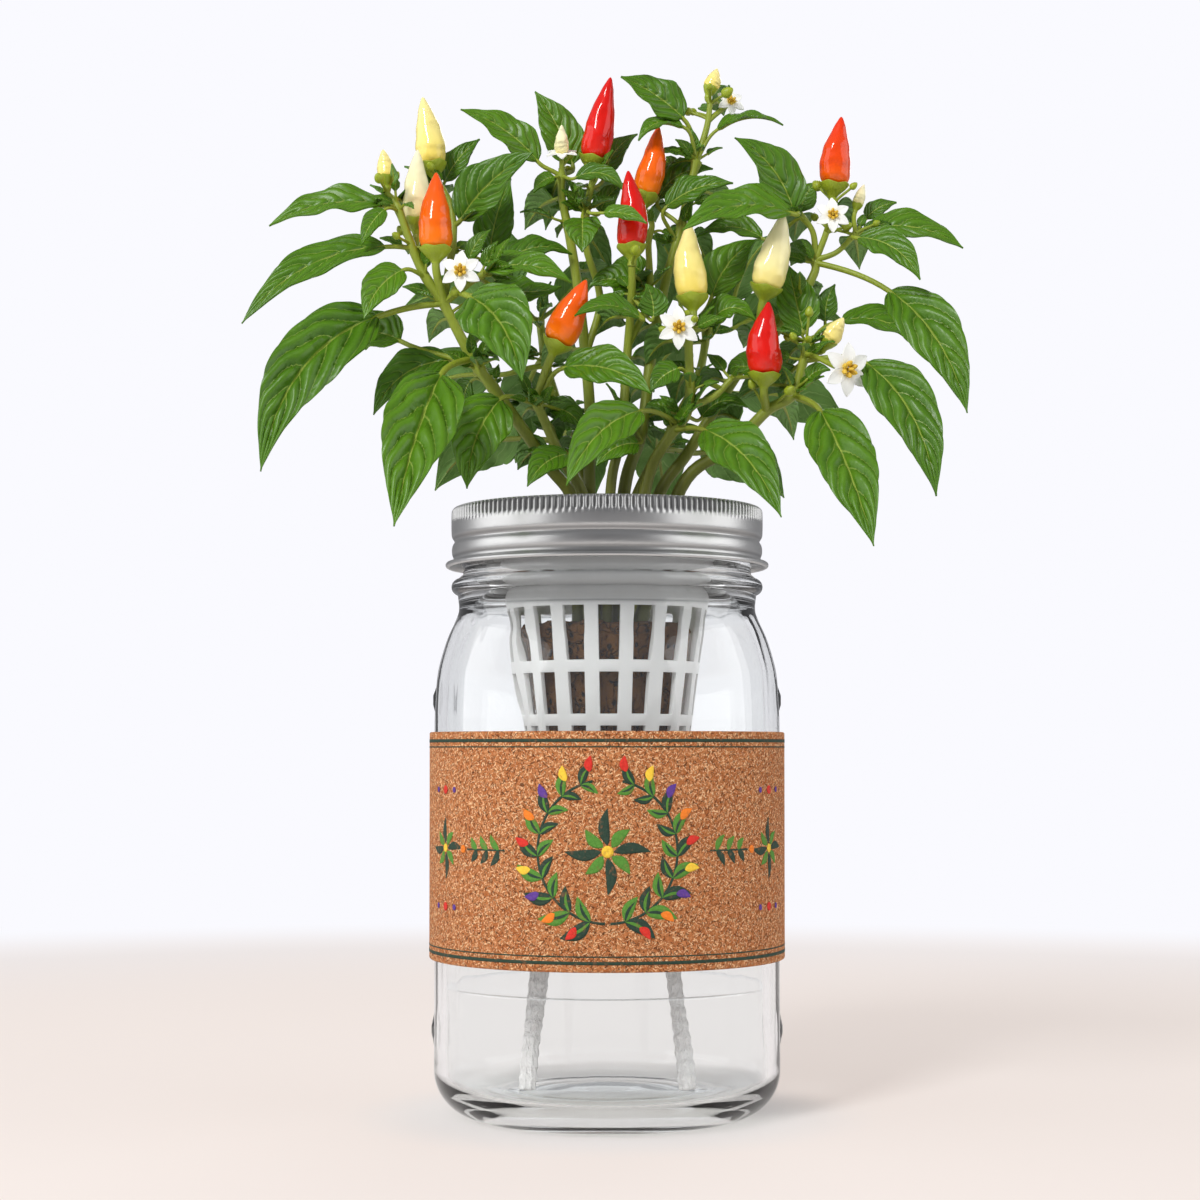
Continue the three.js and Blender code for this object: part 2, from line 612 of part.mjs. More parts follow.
      [0, 0.97, [80, -8, 61], [99, -26, 24], 4, 17, 70],
      [0, 0.75, [56, 0, 51], [52, 3, 71], 0, 13, 75],
    ],
    peppers: [
      [2, 1, [65, 0, 93], [67, -2, 112], 4.5, "red"],
      [0, 0.55, [45, -6, 62], [50, -8, 83], 4.9, "yellow"],
      [3, 1, [72, 3, 88], [74, 3, 94], 1.7, "cream"],
    ],
    flowers: [
      [2, 0.5, [64, -7, 83], [0, -1, 0.1], 5.2, 2],
    ],
  },
  back_left: {
    stems: [
      { radii: [1.9, 1.1], points: [[-2, 10, ROOT], [-4, 14, 0], [-12, 24, 26], [-18, 30, 46], [-20, 33, 60]] },
    ],
    leaves: [
      [0, 0.45, [-26, 28, 24], [-52, 42, 10], 5, 19, -65],
      [0, 0.55, [-10, 34, 30], [-6, 57, 4], 5, 20, -80],
      [0, 0.75, [-34, 34, 44], [-68, 48, 32], 5, 18, -60],
      [0, 0.8, [-22, 40, 46], [-28, 56, 20], 4, 17, -80],
      [0, 1, [-30, 36, 64], [-62, 44, 66], 5, 14, -45],
      [0, 1, [-14, 36, 66], [4, 42, 76], 3, 12, -50],
      [0, 0.95, [-28, 32, 70], [-40, 34, 92], 2, 13, -60],
    ],
    peppers: [],
    flowers: [],
  },
  back_right: {
    stems: [
      { radii: [1.9, 1.1], points: [[4, 12, ROOT], [7, 16, 0], [18, 23, 24], [27, 29, 42], [30, 31, 56]] },
    ],
    leaves: [
      [0, 0.45, [28, 30, 20], [54, 44, 8], 5, 19, -70],
      [0, 0.5, [14, 34, 26], [18, 57, 2], 5, 18, -85],
      [0, 0.75, [40, 32, 38], [74, 42, 26], 5, 18, -60],
      [0, 1, [38, 34, 58], [72, 36, 60], 5, 14, -45],
      [0, 0.95, [24, 38, 54], [14, 54, 42], 4, 14, -70],
      [0, 1, [22, 34, 66], [14, 36, 88], 2, 12, -60],
      [0, 1, [38, 32, 66], [50, 32, 86], 2, 12, -55],
    ],
    peppers: [],
    flowers: [],
  },
};

// The point a share of the way along a stem's run of points.
function pointOn(points, share) {
  const spans = points.length - 1;
  const span = Math.min(Math.floor(share * spans), spans - 1);
  return vector(points[span]).lerp(vector(points[span + 1]), share * spans - span);
}

// How wide a blade is at a share of its length: broad below the middle, drawn out to the tip.
const bladeWidth = (share) => 3.08 * share ** 0.62 * (1 - share) ** 1.1;

function leaf(start, base, tip, bow, width, turn) {
  const chord = tip.clone().sub(base);
  const direction = chord.clone().normalize();
  const lift = UP.clone().addScaledVector(direction, -direction.z).normalize();
  const face = new THREE.Vector3(0, -Math.sin(radians(turn)), Math.cos(radians(turn)));
  const section = (point, run, halfWidth, halfThickness, fold) => {
    const over = face.clone().addScaledVector(run, -face.dot(run)).normalize();
    const across = over.clone().cross(run);
    const edge = (side) => point.clone()
      .addScaledVector(across, side * halfWidth * Math.cos(fold))
      .addScaledVector(over, halfWidth * Math.sin(fold));
    const skin = (side) => point.clone().addScaledVector(over, side * halfThickness);
    return [edge(1), skin(1), edge(-1), skin(-1)];
  };
  const stalkRun = base.clone().sub(start).normalize();
  const joint = start.clone().addScaledVector(stalkRun, JOINT_LENGTH);
  const bladeRun = (share) => chord.clone().addScaledVector(lift, 4 * bow * (1 - 2 * share)).normalize();
  const sections = [[start]];
  if (start.distanceTo(base) > 2 * JOINT_LENGTH) {
    sections.push(section(joint, stalkRun, STALK_RADIUS, STALK_RADIUS, 0));
  }
  sections.push(section(base, bladeRun(0), STALK_RADIUS, STALK_RADIUS, 0));
  for (const share of [0.14, 0.36, 0.68]) {
    const point = base.clone()
      .addScaledVector(chord, share)
      .addScaledVector(lift, 4 * bow * share * (1 - share));
    const half = (width / 2) * bladeWidth(share);
    sections.push(section(point, bladeRun(share), half, LEAF_THICKNESS / 2, radians(LEAF_FOLD)));
  }
  return loft([...sections, [tip]]);
}

// Stands a shape made along +Z at a point, pointing in a direction.
function stand(shape, point, direction) {
  shape.quaternion.setFromUnitVectors(UP, direction);
  shape.position.copy(point);
  return shape;
}

// The same for a geometry that is joined to others.
function placed(geometry, point, direction) {
  geometry.applyQuaternion(new THREE.Quaternion().setFromUnitVectors(UP, direction));
  return solid(geometry.translate(point.x, point.y, point.z));
}

function pepper(name, base, tip, radius, colour) {
  const length = base.distanceTo(tip) - FIT;
  const axis = tip.clone().sub(base).normalize();
  const body = solid(turned([
    [0, 0], [0.75 * radius, 0], [radius, 0.22 * length],
    [0.85 * radius, 0.56 * length], [0.5 * radius, 0.83 * length], [0, length],
  ], 8));
  return stand(piece(name, body, FINISHES[colour]), base.clone().addScaledVector(axis, FIT), axis);
}

// A stem that stands on the plug with a level foot, or grows out of the axis of an earlier stem.
function stem(points, [startRadius, endRadius], standing) {
  const end = points[points.length - 1];
  const run = end.clone().sub(points[points.length - 2]).normalize();
  const sections = rings(points, startRadius, endRadius, 6);
  if (standing) sections[0].forEach((point) => point.setZ(ROOT));
  else sections[0] = [points[0]];
  return loft([...sections, [end.clone().addScaledVector(run, endRadius)]]);
}

// A stalk from a stem's axis that ends square behind a point.
function pedicel(start, end, direction, radius) {
  const bend = end.clone().addScaledVector(direction, -0.4 * end.distanceTo(start));
  const [, ...sections] = rings([start, bend, end], radius, radius, 4);
  return loft([[start], ...sections]);
}

// The green cup under a pepper, on its stalk.
function calyx(start, base, tip, radius) {
  const axis = tip.clone().sub(base).normalize();
  const length = Math.min(CALYX_LENGTH, 1.2 * radius);
  const foot = base.clone().addScaledVector(axis, -length);
  const thickness = Math.min(PEDICEL_RADIUS, 0.4 * radius);
  const cup = turned([[0, 0], [thickness, 0], [0.8 * radius, length], [0, length]], 8);
  const neck = foot.clone().addScaledVector(axis, length / 4);
  return placed(cup, foot, axis).add(pedicel(start, neck, axis, thickness));
}

// A star of petals with the boss of anthers, or of a young fruit, at its middle.
function flower(name, middle, direction, radius, boss) {
  const corners = Array.from({ length: 2 * PETALS }, (_, i) => {
    const reach = i % 2 === 0 ? radius : radius / 2;
    const angle = (Math.PI * i) / PETALS;
    return new THREE.Vector2(reach * Math.sin(angle), reach * Math.cos(angle));
  });
  const options = { depth: PETAL_THICKNESS, bevelEnabled: false };
  const star = new THREE.ExtrudeGeometry(new THREE.Shape(corners), options);
  const thickness = 0.24 * radius + 0.1 * boss;
  const cone = turned([
    [0, PETAL_THICKNESS / 2], [thickness, PETAL_THICKNESS / 2], [thickness, 0.6 * boss], [0, boss],
  ], 6);
  return stand(piece(name, solid(star).add(solid(cone)), FINISHES.petal), middle, direction);
}

const plant = new THREE.Group();
plant.position.z = BAND_LIFT;
const counts = {};
const numbered = (kind) => {
  counts[kind] = (counts[kind] ?? 0) + 1;
  return `${kind}_${counts[kind]}`;
};
for (const [name, { stems, leaves, peppers, flowers }] of Object.entries(BRANCHES)) {
  const from = (source, share) => pointOn(stems[source].points, share);
  const grown = stems.map(({ radii, points }, i) => stem(points.map(vector), radii, i === 0));
  for (const [source, share, base, tip, bow, width, turn] of leaves) {
    grown.push(leaf(from(source, share), vector(base), vector(tip), bow, width, turn));
  }
  for (const [source, share, base, tip, radius, colour] of peppers) {
    grown.push(calyx(from(source, share), vector(base), vector(tip), radius));
    plant.add(pepper(numbered(`pepper_${colour}`), vector(base), vector(tip), radius, colour));
  }
  for (const [source, share, middle, facing, radius, boss] of flowers) {
    const direction = vector(facing).normalize();
    const back = vector(middle).addScaledVector(direction, -FIT);
    grown.push(pedicel(from(source, share), back, direction, STALK_RADIUS));
    plant.add(flower(numbered("flower"), vector(middle), direction, radius, boss));
  }
  plant.add(piece(`stem_${name}`, joined(grown), FINISHES.foliage));
}

// What lifts out of the jar together hangs from the pot's flange.
const insert = new THREE.Group();
insert.position.z = FLANGE_SEAT;
insert.add(netPot(), growPlug(), wick("wick_left", -1), wick("wick_right", 1), plant);

const band = screwBand();
band.position.z = FLANGE_SEAT + BAND_LIFT;

const growKit = new THREE.Group();
growKit.name = "grow_kit";
growKit.add(glassJar(), corkLabel(), insert, band);

export default growKit;
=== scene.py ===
# %% [markdown]
# # A pepper plant that grows in a jar of water
# The object is a quart preserving jar. A tinned screw band holds a white net pot in its mouth, the pot
# holds a coir plug, two cotton wicks draw water up to the plug, and a pepper plant stands in it.
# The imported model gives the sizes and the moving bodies. This script dresses them, piece by piece.

# %% Load the frame
import math
import random

import bpy
import numpy as np
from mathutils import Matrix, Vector, noise


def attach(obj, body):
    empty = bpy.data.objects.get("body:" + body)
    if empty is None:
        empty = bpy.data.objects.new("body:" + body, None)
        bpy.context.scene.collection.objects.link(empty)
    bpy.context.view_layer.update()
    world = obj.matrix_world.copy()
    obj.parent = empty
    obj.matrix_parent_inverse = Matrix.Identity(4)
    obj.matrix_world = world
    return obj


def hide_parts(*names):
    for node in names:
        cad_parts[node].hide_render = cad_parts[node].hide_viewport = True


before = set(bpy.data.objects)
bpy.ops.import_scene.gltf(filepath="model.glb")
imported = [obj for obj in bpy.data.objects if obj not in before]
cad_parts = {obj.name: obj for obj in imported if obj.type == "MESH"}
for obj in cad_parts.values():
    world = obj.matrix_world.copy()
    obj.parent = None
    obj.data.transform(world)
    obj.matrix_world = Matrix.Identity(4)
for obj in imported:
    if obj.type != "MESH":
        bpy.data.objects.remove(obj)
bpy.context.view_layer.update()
bpy.ops.object.select_all(action="DESELECT")
scene = bpy.context.scene
scene.view_settings.view_transform = "Standard"
MM = 0.001

# %% [markdown]
# ## The camera
# The photograph is square and looks at the jar from just above the cork, through a lens that keeps
# upright lines upright. The lens, the eye's place, the tilt and the shift are fitted to readings of the
# jar's foot, its sides, the band and the plant's reach. Part of the upward look is a tilt and part a
# shift of the lens, so that other views stay nearly centred.

# %% Camera
SENSOR = 36
LENS = 71.8
EYE = (-0.002, -0.682, 0.1032)
TILT = math.radians(1.44)
SHIFT = 0.075

bpy.ops.object.camera_add(location=EYE, rotation=(math.pi / 2 + TILT, 0, 0))
camera = bpy.context.object
camera.data.sensor_width = SENSOR
camera.data.lens = LENS
camera.data.shift_y = SHIFT
scene.camera = camera
print("camera at", EYE, "with a lens of", LENS, "mm")

# %% [markdown]
# ## Ways of making a mesh
# Nearly everything here is either turned or a sheet. A turned piece starts as one vertex that is
# extruded along a profile and then spun about the jar's axis, as a potter or a lathe would shape it.
# A sheet starts as a flat grid, whose points are then carried to their places by a formula, so that its
# own UV map still follows the sheet. Both need smooth lines through a few points, which a Catmull-Rom
# curve gives.

# %% Helpers for lines, lathes and sheets
def smooth(points, steps):
    """A smooth line through the points, with this many steps between each two."""
    known = np.array(points, float)
    known = np.vstack([2 * known[0] - known[1], known, 2 * known[-1] - known[-2]])
    line = []
    for before, start, end, after in zip(known, known[1:], known[2:], known[3:]):
        for share in np.arange(steps) / steps:
            line.append(0.5 * (
                2 * start
                + (end - before) * share
                + (2 * before - 5 * start + 4 * end - after) * share ** 2
                + (3 * start - before - 3 * end + after) * share ** 3
            ))
    return np.array([*line, known[-2]])


def eased(points, steps):
    """The same line as a list of pairs, to be strung together with other stretches of a profile."""
    return [tuple(point) for point in smooth(points, steps)]


def unit(vectors):
    return vectors / np.linalg.norm(vectors, axis=-1, keepdims=True)


def arc(centre, radius, start, end, steps):
    """Points of a round stretch of a profile, from one angle to the other in degrees."""
    angles = np.radians(np.linspace(start, end, steps + 1))
    return [(centre[0] + radius * math.cos(a), centre[1] + radius * math.sin(a)) for a in angles]


def points_of(piece):
    flat = np.empty(3 * len(piece.data.vertices))
    piece.data.vertices.foreach_get("co", flat)
    return flat.reshape(-1, 3)


def polar(piece):
    """Its points in millimetres, their distances from the jar's axis and their turns from the front."""
    at = points_of(piece) / MM
    return at, np.hypot(at[:, 0], at[:, 1]), np.arctan2(at[:, 0], -at[:, 1])


def step_at(shares, steps):
    """The row or column of a sheet that each share of it falls on."""
    return np.rint(shares * steps).astype(int)


def bumps(points):
    """Soft noise at each point, between -1 and 1."""
    return np.array([noise.noise(point) for point in points])


def move_points(piece, points):
    piece.data.vertices.foreach_set("co", np.ascontiguousarray(points, dtype=np.float32).ravel())
    piece.data.update()


def note(piece, name, values):
    """Keeps a number for each point, which a material can read."""
    kept = piece.data.attributes.new(name, "FLOAT", "POINT")
    kept.data.foreach_set("value", np.ascontiguousarray(values, dtype=np.float32))


def choose(*pieces):
    """Selects these pieces alone and makes the first one active."""
    bpy.ops.object.select_all(action="DESELECT")
    for piece in pieces:
        piece.select_set(True)
    bpy.context.view_layer.objects.active = pieces[0]


def close_up():
    """Merges the points of the active piece that meet and turns its faces outwards."""
    bpy.ops.object.mode_set(mode="EDIT")
    bpy.ops.mesh.select_all(action="SELECT")
    bpy.ops.mesh.remove_doubles(threshold=1e-6)
    bpy.ops.mesh.normals_make_consistent(inside=False)
    bpy.ops.object.mode_set(mode="OBJECT")
    bpy.ops.object.shade_smooth()


def lathe(name, profile, steps, sweep=2 * math.pi):
    """Spins a profile of (radius, height) points in millimetres about the jar's axis, from the back."""
    bpy.ops.mesh.primitive_plane_add(size=MM)
    piece = bpy.context.object
    piece.name = name
    bpy.ops.object.mode_set(mode="EDIT")
    bpy.ops.mesh.select_all(action="SELECT")
    bpy.ops.mesh.merge(type="CENTER")
    radius, height = profile[0]
    bpy.ops.transform.translate(value=(0, radius * MM, height * MM))
    for next_radius, next_height in profile[1:]:
        step = (0, (next_radius - radius) * MM, (next_height - height) * MM)
        bpy.ops.mesh.extrude_region_move(TRANSFORM_OT_translate={"value": step})
        radius, height = next_radius, next_height
    bpy.ops.mesh.select_all(action="SELECT")
    turn = (2 * math.pi - sweep) / 2
    bpy.ops.transform.rotate(value=-turn, orient_axis="Z", center_override=(0, 0, 0))
    bpy.ops.mesh.spin(steps=steps, angle=sweep, center=(0, 0, 0), axis=(0, 0, 1))
    bpy.ops.object.mode_set(mode="OBJECT")
    close_up()
    return piece


def sheet(name, columns, rows, place):
    """A flat grid whose points go where place(across, along) says, with both shares from 0 to 1."""
    bpy.ops.mesh.primitive_grid_add(x_subdivisions=columns, y_subdivisions=rows, size=1)
    piece = bpy.context.object
    piece.name = name
    flat = points_of(piece) + 0.5
    move_points(piece, place(flat[:, 0], flat[:, 1]))
    bpy.ops.object.shade_smooth()
    return piece


def join(name, parts):
    choose(*parts)
    if len(parts) > 1:
        bpy.ops.object.join()
    parts[0].name = name
    return parts[0]


def finish_with(piece, kind, **settings):
    """Adds a modifier with its settings and applies it."""
    choose(piece)
    modifier = piece.modifiers.new(kind.title(), kind)
    for setting, value in settings.items():
        setattr(modifier, setting, value)
    bpy.ops.object.modifier_apply(modifier=modifier.name)


def tubes(name, lines):
    """Stalks with eight sides along lines of (points, radii) in millimetres, as one mesh with closed ends."""
    curve = bpy.data.curves.new(name, "CURVE")
    curve.dimensions = "3D"
    curve.bevel_depth = MM
    curve.bevel_resolution = 2
    curve.use_fill_caps = True
    for points, radii in lines:
        spline = curve.splines.new("POLY")
        spline.points.add(len(points) - 1)
        for knot, point, radius in zip(spline.points, points, radii):
            knot.co = (*(np.array(point) * MM), 1)
            knot.radius = radius
    piece = bpy.data.objects.new(name, curve)
    scene.collection.objects.link(piece)
    choose(piece)
    bpy.ops.object.convert(target="MESH")
    piece = bpy.context.object
    bpy.ops.object.shade_smooth()
    return piece


def dress(piece, body, slot_name, *nodes):
    """The piece moves with a body and may stand for CAD nodes, whose parts it hides; slot_name is not used.
    """
    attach(piece, body)
    if nodes:
        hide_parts(*nodes)
    print(piece.name, len(piece.data.polygons), "faces on", body)


# %% [markdown]
# ## Writing materials as sums
# A material is a network of nodes, and most of it is arithmetic. A small class wraps a node's output so
# that plus, minus and times on it add the Math nodes, and one method makes every other node from
# its type, its settings and what goes into its sockets. Colours are given as the usual 0 to 255 values
# and turned into the linear ones that the renderer counts in.

# %% Shader maths
def srgb(red, green, blue):
    shares = [value / 255 for value in (red, green, blue)]
    return tuple(s / 12.92 if s <= 0.04045 else ((s + 0.055) / 1.055) ** 2.4 for s in shares) + (1,)


class Reading:
    """What a node puts out. Sums with it add Math nodes to the same material."""

    def __init__(self, paint, socket):
        self.paint = paint
        self.socket = socket

    def maths(self, operation, *terms):
        return self.paint.node("Math", {"operation": operation}, dict(enumerate(terms)))

    def __add__(self, other):
        return self.maths("ADD", self, other)

    def __sub__(self, other):
        return self.maths("SUBTRACT", self, other)

    def __rsub__(self, other):
        return self.maths("SUBTRACT", other, self)

    def __mul__(self, other):
        return self.maths("MULTIPLY", self, other)

    def __abs__(self):
        return self.maths("ABSOLUTE", self)

    __radd__ = __add__
    __rmul__ = __mul__

    def fraction(self):
        return self.maths("FRACT", self)

    def most(self, other):
        return self.maths("MAXIMUM", self, other)

    def step(self, low, high):
        """0 below low and 1 above high, with a smooth rise between."""
        settings = {"interpolation_type": "SMOOTHSTEP"}
        return self.paint.node("MapRange", settings, {"Value": self, "From Min": low, "From Max": high})


class Paint:
    """A material, or the world, and its nodes."""

    def __init__(self, owner):
        self.owner = owner
        owner.use_nodes = True
        self.tree = owner.node_tree
        self.tree.nodes.clear()

    def node(self, kind, settings, sockets, out=0):
        made = self.tree.nodes.new("ShaderNode" + kind)
        for name, value in settings.items():
            if name == "stops":
                while len(made.color_ramp.elements) < len(value):
                    made.color_ramp.elements.new(1)
                for element, (place, colour) in zip(made.color_ramp.elements, value):
                    element.position = place
                    element.color = colour
            else:
                setattr(made, name, value)
        for name, value in sockets.items():
            if isinstance(value, Reading):
                self.tree.links.new(value.socket, made.inputs[name])
            else:
                made.inputs[name].default_value = value
        return Reading(self, made.outputs[out])

    def place(self, kind="Object"):
        return self.node("TexCoord", {}, {}, kind)

    def stretched(self, vector, scale):
        return self.node("Mapping", {}, {"Vector": vector, "Scale": scale})

    def parts(self, vector):
        split = self.node("SeparateXYZ", {}, {0: vector})
        return [Reading(self, output) for output in split.socket.node.outputs]

    def cloud(self, vector, scale, detail=2.0, roughness=0.5):
        """Soft noise from 0 to 1, with this many lumps in a metre."""
        values = {"Vector": vector, "Scale": scale, "Detail": detail, "Roughness": roughness}
        return self.node("TexNoise", {}, values, "Fac")

    def wander(self, vector, scale):
        """Soft noise in three directions, each from 0 to 1."""
        return self.node("TexNoise", {}, {"Vector": vector, "Scale": scale, "Detail": 2.0}, "Color")

    def cells(self, vector, scale, feature="F1", out="Distance"):
        """Random cells: how near the middle or the edge of one is, or its own colour."""
        return self.node("TexVoronoi", {"feature": feature}, {"Vector": vector, "Scale": scale}, out)

    def kept(self, name):
        return self.node("Attribute", {"attribute_name": name}, {}, "Fac")

    def mix(self, share, first, second):
        return self.node("Mix", {"data_type": "RGBA"}, {0: share, 6: first, 7: second}, 2)

    def ramp(self, share, *stops):
        return self.node("ValToRGB", {"stops": stops}, {0: share}, "Color")

    def bump(self, height, depth, strength=1.0):
        return self.node("Bump", {}, {"Height": height, "Distance": depth, "Strength": strength})

    def principled(self, **sockets):
        names = {name.replace("_", " ").title().replace("Ior", "IOR"): v for name, v in sockets.items()}
        return self.node("BsdfPrincipled", {}, names)

    def show(self, shader, kind="Material"):
        output = self.tree.nodes.new("ShaderNodeOutput" + kind)
        self.tree.links.new(shader.socket, output.inputs["Surface"])
        return self.owner


def paint(name):
    return Paint(bpy.data.materials.new(name))


def coat(piece, *materials):
    piece.data.materials.clear()
    for material in materials:
        piece.data.materials.append(material)


# %% [markdown]
# ## The wicks
# Each wick is a limp cotton braid that hangs from its hole in the plug and spreads a little on its way
# to the glass floor. Its route is the list that the CAD model has, as places in millimetres. A grid is
# rolled round the route, and its radius swells where one strand crosses over another.

# %% Cotton braid
WICK_RADIUS = 2.75
WICK_EXIT = (12.3, 0, 91.9)
WICK_ROUTE = [
    (12.3, 0, 117.9), WICK_EXIT, (12.3, 0, 88), (14.73, -1.44, 69.3), (18.12, -7.2, 44.7),
    (20.84, -14.4, 22.56), (22, -18, 8.35),
]
WICK_STEPS = 22
WICK_SIDES = 32
STRANDS = 4
BRAID_PITCH = 7.5
BRAID_SWELL = 0.13
BRAID_FUZZ = 0.05


def cotton():
    p = paint("wet_cotton")
    place = p.place()
    fibre = p.cloud(p.stretched(place, (1, 1, 0.35)), 1500, 4)
    damp = p.cloud(place, 160, 3)
    colour = p.mix(damp, srgb(246, 240, 238), srgb(255, 254, 253))
    return p.show(p.principled(
        base_color=colour,
        roughness=0.2 + fibre * 0.4,
        normal=p.bump(fibre, 0.0018, 1.0),
    ))


def wick(name, side, material):
    line = smooth([(side * x, y, z) for x, y, z in WICK_ROUTE], WICK_STEPS)
    lengths = np.concatenate([[0], np.cumsum(np.linalg.norm(np.diff(line, axis=0), axis=1))])
    runs = unit(np.gradient(line, axis=0))

    def place(across, along):
        row = step_at(along, len(line) - 1)
        run = runs[row]
        sideways = unit(np.cross(run, (0, 1, 0)))
        ahead = np.cross(sideways, run)
        angle = 2 * math.pi * across
        twist = 2 * math.pi * lengths[row] / BRAID_PITCH
        braid = np.sin(STRANDS * angle + twist) * np.sin(STRANDS * angle - twist)
        fuzz = bumps(line[row] * 0.5 + np.c_[angle, angle, twist] * 0.2)
        ends = np.minimum(1, np.minimum(row, len(line) - 1 - row) / 1.5) ** 0.5
        radius = WICK_RADIUS * ends * (1 - BRAID_SWELL + BRAID_SWELL * braid + BRAID_FUZZ * fuzz)
        out = np.cos(angle)[:, None] * sideways + np.sin(angle)[:, None] * ahead
        return (line[row] + radius[:, None] * out) * MM

    piece = sheet(name, WICK_SIDES, len(line) - 1, place)
    close_up()
    coat(piece, material)
    dress(piece, "insert", "cotton", name.replace("cord_", "wick_"))
    print(name, "is", round(lengths[-1], 1), "mm long")
    return piece


braid = cotton()
wicks = [wick("cord_left", -1, braid), wick("cord_right", 1, braid)]

# %% [markdown]
# ## The glass
# Clear pressed glass is thick at the foot and even at the wall. The outside goes up over the heel, the
# straight body, the long shoulder and the beaded neck to the rim, and the inside comes back down to a
# domed floor over a bottom that is pushed up. Both walls are one closed profile, so light bends into the
# glass and out of it again. The thread, the small raised marks at the sides and the faint ripples of the
# inner wall are moved points.

# %% Turn the jar
JAR_RADIUS = 49
WALL = 3.5
NECK_RADIUS = 42.1
RIM_RADIUS = 41
MOUTH_RADIUS = 38
JAR_TOP = 169.5
BEAD_HEIGHT = 149.5
FLOOR_HEIGHT = 7.5
HEEL = 13
INNER_HEEL = 5.5
JAR_STEPS = 288
THREAD_PITCH = 5
THREAD_DEPTH = 1.3
THREAD_SPAN = (154, 166)
MARK_HEIGHTS = (24, 118)
MARK_WIDTH = 2.2
MARK_LENGTH = 3.4
MARK_RISE = 0.9
GLASS_RIPPLE = 0.16
# Thin bands round the neck where the glass's colour is painted dark grey, as painted shade.
NECK_SHADE_BANDS = ((151.3, 0.8), (147, 0.5), (143.6, 0.5))
SHOULDER = [(49, 110), (48.9, 114), (48.3, 123.7), (47.1, 129.4), (45.3, 135), (43.4, 139.2), (42.3, 142),
            (42.1, 144)]

foot = [(0, 5.6), (9, 5.4), (13.2, 4.6), (20, 3.4), (27, 1.9), (29, 0.4), (30.5, 0)]
heel = arc((JAR_RADIUS - HEEL, HEEL), HEEL, -90, 0, 14)
body = [(JAR_RADIUS, z) for z in np.arange(15, 109, 2.0)]
shoulder = eased(SHOULDER, 4)
bead = arc((NECK_RADIUS, BEAD_HEIGHT), 2.2, -80, 80, 10)
finish = [(RIM_RADIUS, z) for z in np.arange(153, JAR_TOP - 1.5, 0.5)]
rim = arc((RIM_RADIUS - 1, JAR_TOP - 1), 1, 0, 90, 4) + arc((MOUTH_RADIUS + 1, JAR_TOP - 1), 1, 90, 180, 4)
inside = [(MOUTH_RADIUS, 160), (MOUTH_RADIUS, 152), (38.3, 146), (38.7, 142.5)]
inside += [(r - WALL, z) for r, z in shoulder[-6::-1]]
inside += [(JAR_RADIUS - WALL, z) for z in np.arange(104, 14, -6.0)]
inside += arc((JAR_RADIUS - WALL - INNER_HEEL, FLOOR_HEIGHT + INNER_HEEL), INNER_HEEL, 0, -68, 6)
floor_rings = [(41.1, 7.1), (40, 6.5), (37.5, 5.45), (36, 5.05), (34.5, 5.6), (30.5, 5.9), (28.6, 5.5),
               (27, 6.1), (19, 6.7), (11, 7.2), (8.5, 7.4), (5, 7.5), (0, 7.5)]
inside += eased(floor_rings, 3)

jar = lathe("jar_glass", foot + heel + body + shoulder + bead + finish + rim + inside, JAR_STEPS)
at, reach, turn = polar(jar)
rise = np.zeros(len(at))
low, high = THREAD_SPAN
ends = np.clip(np.minimum(at[:, 2] - low, high - at[:, 2]) / 3, 0, 1)
crest = 0.5 + 0.5 * np.cos(2 * math.pi * (at[:, 2] / THREAD_PITCH + turn / (2 * math.pi)))
rise += THREAD_DEPTH * ends * crest ** 2 * (abs(reach - RIM_RADIUS) < 0.1)
for height in MARK_HEIGHTS:
    for side in (-1, 1):
        aside = JAR_RADIUS * (turn - side * math.pi / 2)
        oval = (aside / MARK_WIDTH) ** 2 + ((at[:, 2] - height) / MARK_LENGTH) ** 2
        rise += MARK_RISE * np.clip(1 - oval, 0, 1) ** 0.5 * (reach > JAR_RADIUS - 1)
within = (reach < JAR_RADIUS - WALL + 0.1) & (reach > 30) & (at[:, 2] > 20) & (at[:, 2] < 140)
spots = np.c_[8 * np.sin(turn), 8 * np.cos(turn), 0.012 * at[:, 2]]
rise += GLASS_RIPPLE * bumps(spots) * within
at[:, :2] *= (1 + rise / np.maximum(reach, 1))[:, None]
move_points(jar, at * MM)
# Painted shade: a mask of the bands round the neck where the glass is coloured dark grey.
thick = np.zeros(len(at))
for height, spread in NECK_SHADE_BANDS:
    thick += np.exp(-((at[:, 2] - height) / spread) ** 2) * (reach > MOUTH_RADIUS + 2)
note(jar, "thick", np.minimum(thick, 1))

# %% [markdown]
# Glass is clear, barely green and quite smooth. Round the neck's bead its colour is painted dark grey in
# three thin bands, as painted shade from the band above. A mix that lets the lamps' rays through keeps the
# pot and the wicks inside lit, which a plain glass shader would leave dark.

# %% Glass
p = paint("clear_glass")
glass = p.principled(
    # Painted shade: the glass's colour goes dark grey in the bands round the neck.
    base_color=p.mix(p.kept("thick"), (0.92, 0.93, 0.925, 1), (0.2, 0.21, 0.21, 1)),
    roughness=0.0,
    transmission_weight=1.0,
    ior=1.46,
)
through = p.node("BsdfTransparent", {}, {"Color": (0.9, 0.91, 0.905, 1)})
lamp_ray = p.node("LightPath", {}, {}, "Is Shadow Ray")
coat(jar, p.show(p.node("MixShader", {}, {0: lamp_ray, 1: glass, 2: through})))
dress(jar, "jar", "glass", "glass_jar")

# %% [markdown]
# The water fills the bottom fifth of the jar, below the cork. Only its surface and the faint line round the
# glass show, so it shines a little at a glancing look and otherwise lets everything through.

# %% Water
WATER_HEIGHT = 36.5
WATER_GAP = 0.2
WATER_FOOT = 7.8
WATER_STEPS = 128

